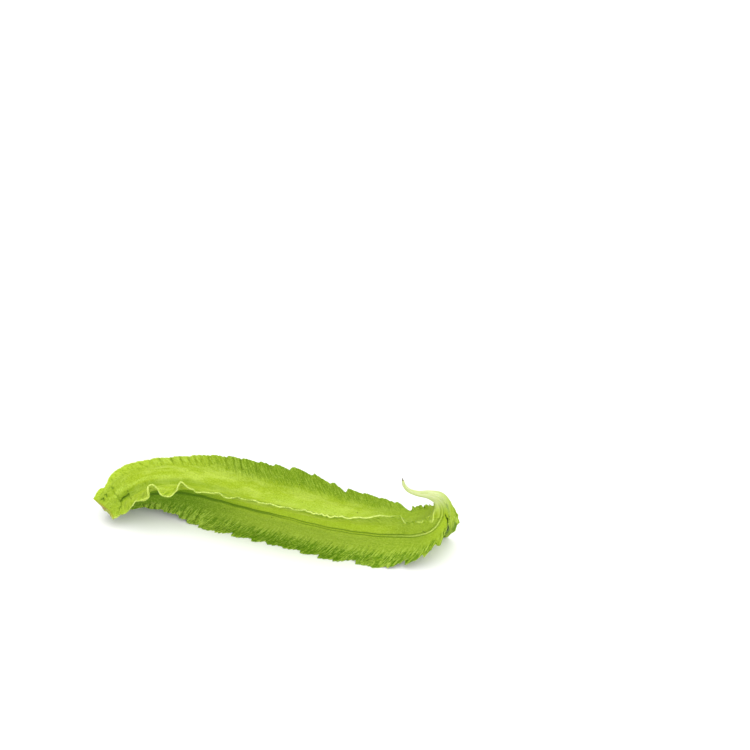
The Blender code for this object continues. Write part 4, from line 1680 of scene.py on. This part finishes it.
    def ribbed_and_shaded(self, skin: SkinSignals) -> Signal:
        """Return the height of the faces' long fibres, and of the top face's painted highlight on its crest
        and middle and painted shade in front of them.
        """
        crest = skin.vein_and_shading * (self.crest_weight + (skin.grain - 0.5) * self.crest_grain)
        return (skin.fibre - 0.5) * self.fibre_weight + crest

    def toned(self, graph: Graph, colour: Signal, height: Signal, pale_most: float,
              deep_most: float) -> Signal:
        """Paint ridges paler and hollows deeper: the skin's own tones, and painted highlight and shade.

        Args:
            graph: The material's nodes.
            colour: The colour before.
            height: Above 0 on a ridge and below 0 in a hollow.
            pale_most: The most of the pale colour.
            deep_most: The most of the deep colour.

        Returns:
            The painted colour.
        """
        colour = graph.blend(height.clamped() * pale_most, colour, self.pale_tone_and_highlight)
        return graph.blend((height * -1.0).clamped() * deep_most, colour, self.deep_tone_and_shade)

    def grained(self, graph: Graph, colour: Signal, skin: SkinSignals, outermost: Signal) -> Signal:
        """Speckle the colour with the skin's grain, most on the lower wings' outer parts.

        Args:
            graph: The material's nodes.
            colour: The colour before.
            skin: What the finish reads.
            outermost: 1 on the lower wings' outer parts.

        Returns:
            The speckled colour.
        """
        speckled = outermost * self.grain_more_outside + 1.0
        pale = ((skin.grain - 0.5) * self.grain_pale).clamped()
        deep = ((0.5 - skin.grain) * speckled * self.grain_deep).clamped()
        colour = graph.blend(pale * self.grain_most, colour, self.pale_tone_and_highlight)
        return graph.blend(deep * self.grain_most, colour, self.deep_tone_and_shade)

    def edged(self, graph: Graph, colour: Signal, skin: SkinSignals) -> Signal:
        """Paint the wings' broken pale rims, partly painted highlight, the pale beak, the cut end and a few
        specks.

        Args:
            graph: The material's nodes.
            colour: The colour before.
            skin: What the finish reads.

        Returns:
            The finished colour.
        """
        along, grain = skin.along, skin.grain
        grainy = grain.step(*self.rim_grain) * self.rim_more_on_grain + self.rim_least
        broken = skin.mottle.step(*self.rim_mottle) * self.rim_more_on_mottle + self.rim_least_mottle
        # Broken pale rims, partly painted highlight.
        colour = graph.blend(skin.rim * along.step(*self.rim_end) * grainy * broken, colour, self.rim)
        pale = graph.blend(skin.fibre.step(*self.beak_fibre), self.beak, self.beak_pale)
        beak = along.step(*self.beak_start) * (grain * self.beak_more_on_grain + self.beak_least)
        colour = graph.blend(beak, colour, pale)
        colour = graph.blend(along.step(*self.scar_end) * grain.step(*self.scar_grain), colour, self.scar)
        colour = graph.blend(along.step(*self.cut_end) * self.cut_most, colour, self.cut)
        return graph.blend(skin.speck.step(*self.speck_size) * self.speck_most, colour, self.speck)

    def ground(self, graph: Graph, skin: SkinSignals) -> Signal:
        """Lay the skin's colour under its veins, by wing and face, with painted shade on the side faces and
        lower wings towards the stem.

        Args:
            graph: The material's nodes.
            skin: What the finish reads.

        Returns:
            The colour.
        """
        along, share, low = skin.along, skin.share, skin.low
        upper, lower = self.upper_ground(graph, skin), self.lower_ground(graph, skin)
        colour = graph.blend(low.step(*self.low_part), upper, lower)
        # Painted shade on the side faces and lower wings towards the stem, less on the lower wings' lit outer
        # parts.
        outer_lit = share.step(*self.outer_lit_part) * along.step(*self.outer_lit_start) * self.low_outer_lit
        shaded = along.step(*self.shade_end) * low.step(*self.shade_part) * (1.0 - outer_lit)
        return graph.blend(shaded * self.low_shade_most, colour, self.low_shade)

    def upper_ground(self, graph: Graph, skin: SkinSignals) -> Signal:
        """Lay the colour of the top face and upper wings, paler where the mottle is high.

        Args:
            graph: The material's nodes.
            skin: What the finish reads.

        Returns:
            The colour.
        """
        along, share = skin.along, skin.share
        hook = along.within(self.hook_start, self.hook_end)
        stem_wing = share.step(*self.stem_wing_part) * along.step(*self.stem_wing_end)
        outer = share.step(*self.outer_part) * along.within(self.outer_start, self.outer_end)
        under_wing = skin.low.step(*self.strip_part) * along.within(self.strip_start, self.strip_end)
        colour = graph.blend(skin.mottle.step(*self.top_mottle) * self.top_pale_most, self.top, self.top_pale)
        colour = graph.blend(hook * self.hook_most, colour, self.low_end)
        colour = graph.blend(along.step(*self.stem_end) * self.stem_most, colour, self.low_end)
        colour = graph.blend(stem_wing, colour, self.wing_stem)
        colour = graph.blend(outer, colour, self.wing_outer)
        return graph.blend(under_wing, colour, self.strip)

    def lower_ground(self, graph: Graph, skin: SkinSignals) -> Signal:
        """Lay the colour of the lower wings and the underside, greener on the wings' outer parts.

        Args:
            graph: The material's nodes.
            skin: What the finish reads.

        Returns:
            The colour.
        """
        along = skin.along
        hook = along.within(self.low_hook_start, self.low_hook_end)
        upper = graph.blend(hook * self.hook_most, self.low_upper, self.low_end)
        upper = graph.blend(along.step(*self.low_strip_start) * self.hook_most, upper, self.strip)
        first, last = along.step(*self.outer_first_fade), along.step(*self.outer_last_fade)
        outer = graph.blend(first * self.outer_fades + last * (1 - self.outer_fades), self.low_outer, upper)
        outermost = skin.share.step(*self.low_outer_part) * along.step(*self.low_outer_start)
        return graph.blend(outermost, upper, outer)


@dataclass(frozen=True)
class DryFinish:
    """Dried plant fibre, brown with darker and paler streaks."""

    brown: tuple[float, ...]
    pale: tuple[float, ...]
    scale: float = 2200.0
    detail: float = 4.0
    rough: float = 0.6
    streaks: Span = (0.4, 0.65)
    roughness: float = 0.8
    roughness_spread: float = 0.2
    bump_strength: float = 0.6
    bump_m: float = 0.0002
    specular: float = 0.3

    def material(self, name: str) -> bpy.types.Material:
        """Make the material.

        Args:
            name: Its name.

        Returns:
            The material, with its colour, roughness and bump from nodes.
        """
        graph = Graph(name)
        fleck = graph.noise(graph.object_place(), self.scale, self.detail, self.rough)
        graph.surface(graph.blend(fleck.step(*self.streaks), self.brown, self.pale),
                      self.roughness + (fleck - 0.5) * self.roughness_spread,
                      graph.bump(fleck, self.bump_strength, self.bump_m))
        graph.shader.inputs["Specular IOR Level"].default_value = self.specular
        return graph.material


SCAR_FINISH = DryFinish(linear(128, 92, 44), linear(206, 196, 126))
TIP_FINISH = DryFinish(linear(52, 44, 22), linear(120, 104, 58))


@dataclass(frozen=True)
class FloorFinish:
    """Matt white table top."""

    colour: tuple[float, ...] = linear(246, 246, 246)
    roughness: float = 0.7
    roughness_spread: float = 0.05
    scale: float = 3.0

    def material(self) -> bpy.types.Material:
        """Make the material.

        Returns:
            The material, with a faint unevenness so that it isn't dead flat.
        """
        graph = Graph("white_table")
        tone = graph.noise(graph.object_place(), self.scale)
        graph.surface(self.colour, self.roughness + tone * self.roughness_spread)
        return graph.material


@dataclass(frozen=True)
class Softbox:
    """A square softbox: its name, power in watts, place and side."""

    name: str
    power: float
    place_m: tuple[float, float, float]
    size_m: float


@dataclass
class Studio:
    """White table, soft lights and the camera."""

    floor_size_m: float = 24.0
    azimuth: float = 10.0
    elevation: float = 40.0
    distance: float = 925.0
    target: tuple[float, float, float] = (25.4, 117.46, 0.0)
    lens: float = 85.0
    sensor: float = 36.0
    world_strength: float = 0.9
    softboxes: tuple[Softbox, ...] = (
        Softbox("key", 11.5, (0.15, 0.1, 1.35), 1.3), Softbox("fill", 6.0, (0.5, -1.1, 0.9), 1.4))

    def floor(self) -> None:
        """Lay the table under the pod."""
        bpy.ops.mesh.primitive_plane_add(size=self.floor_size_m)
        floor = bpy.context.object
        floor.name = floor.data.name = "table_top"
        floor.data.materials.append(FloorFinish().material())

    def world(self) -> None:
        """Surround everything with even white light."""
        world = bpy.data.worlds.new("studio")
        bpy.context.scene.world = world
        world.use_nodes = True
        background = world.node_tree.nodes["Background"]
        background.inputs["Color"].default_value = (1.0, 1.0, 1.0, 1.0)
        background.inputs["Strength"].default_value = self.world_strength

    def softbox(self, box: Softbox) -> None:
        """Hang a softbox that faces the pod.

        Args:
            box: The softbox.
        """
        light = bpy.data.lights.new(box.name, "AREA")
        light.energy = box.power
        light.shape = "SQUARE"
        light.size = box.size_m
        holder = bpy.data.objects.new(box.name, light)
        bpy.context.scene.collection.objects.link(holder)
        holder.location = box.place_m
        holder.rotation_euler = (-Vector(box.place_m)).to_track_quat("-Z", "Y").to_euler()

    def camera(self) -> None:
        """Set up the camera at the photograph's place."""
        a, e = math.radians(self.azimuth), math.radians(self.elevation)
        back = Vector((math.sin(a) * math.cos(e), -math.cos(a) * math.cos(e), math.sin(e)))
        data = bpy.data.cameras.new("camera")
        data.lens = self.lens
        data.sensor_width = self.sensor
        camera = bpy.data.objects.new("camera", data)
        bpy.context.scene.collection.objects.link(camera)
        camera.location = (Vector(self.target) + back * self.distance) * MM
        camera.rotation_euler = back.to_track_quat("Z", "Y").to_euler()
        bpy.context.scene.camera = camera

    def build(self) -> None:
        """Set up the whole studio."""
        self.floor()
        self.world()
        for box in self.softboxes:
            self.softbox(box)
        self.camera()
        bpy.context.scene.view_settings.view_transform = "Standard"


def place_piece(piece: bpy.types.Object, *nodes: str) -> None:
    """Make a finished piece ride on the pod's body, and hide the solid's nodes that it stands for.

    Args:
        piece: The piece.
        nodes: The solid's nodes that it stands for, if any.
    """
    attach(piece, "root")
    if nodes:
        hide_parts(*nodes)
    LOG.info("%s: %d points, %d faces", piece.name, len(piece.data.vertices), len(piece.data.polygons))


def main() -> None:
    """Build the pod's pieces and the studio, in order."""
    logging.basicConfig(level=logging.INFO, format="%(name)s %(message)s")
    place_piece(PodSkin().build(PodSkinFinish()), "pod")
    place_piece(StemScar().build(SCAR_FINISH))
    place_piece(StyleTip().build(TIP_FINISH))
    Studio().build()


if __name__ == "__main__":
    main()
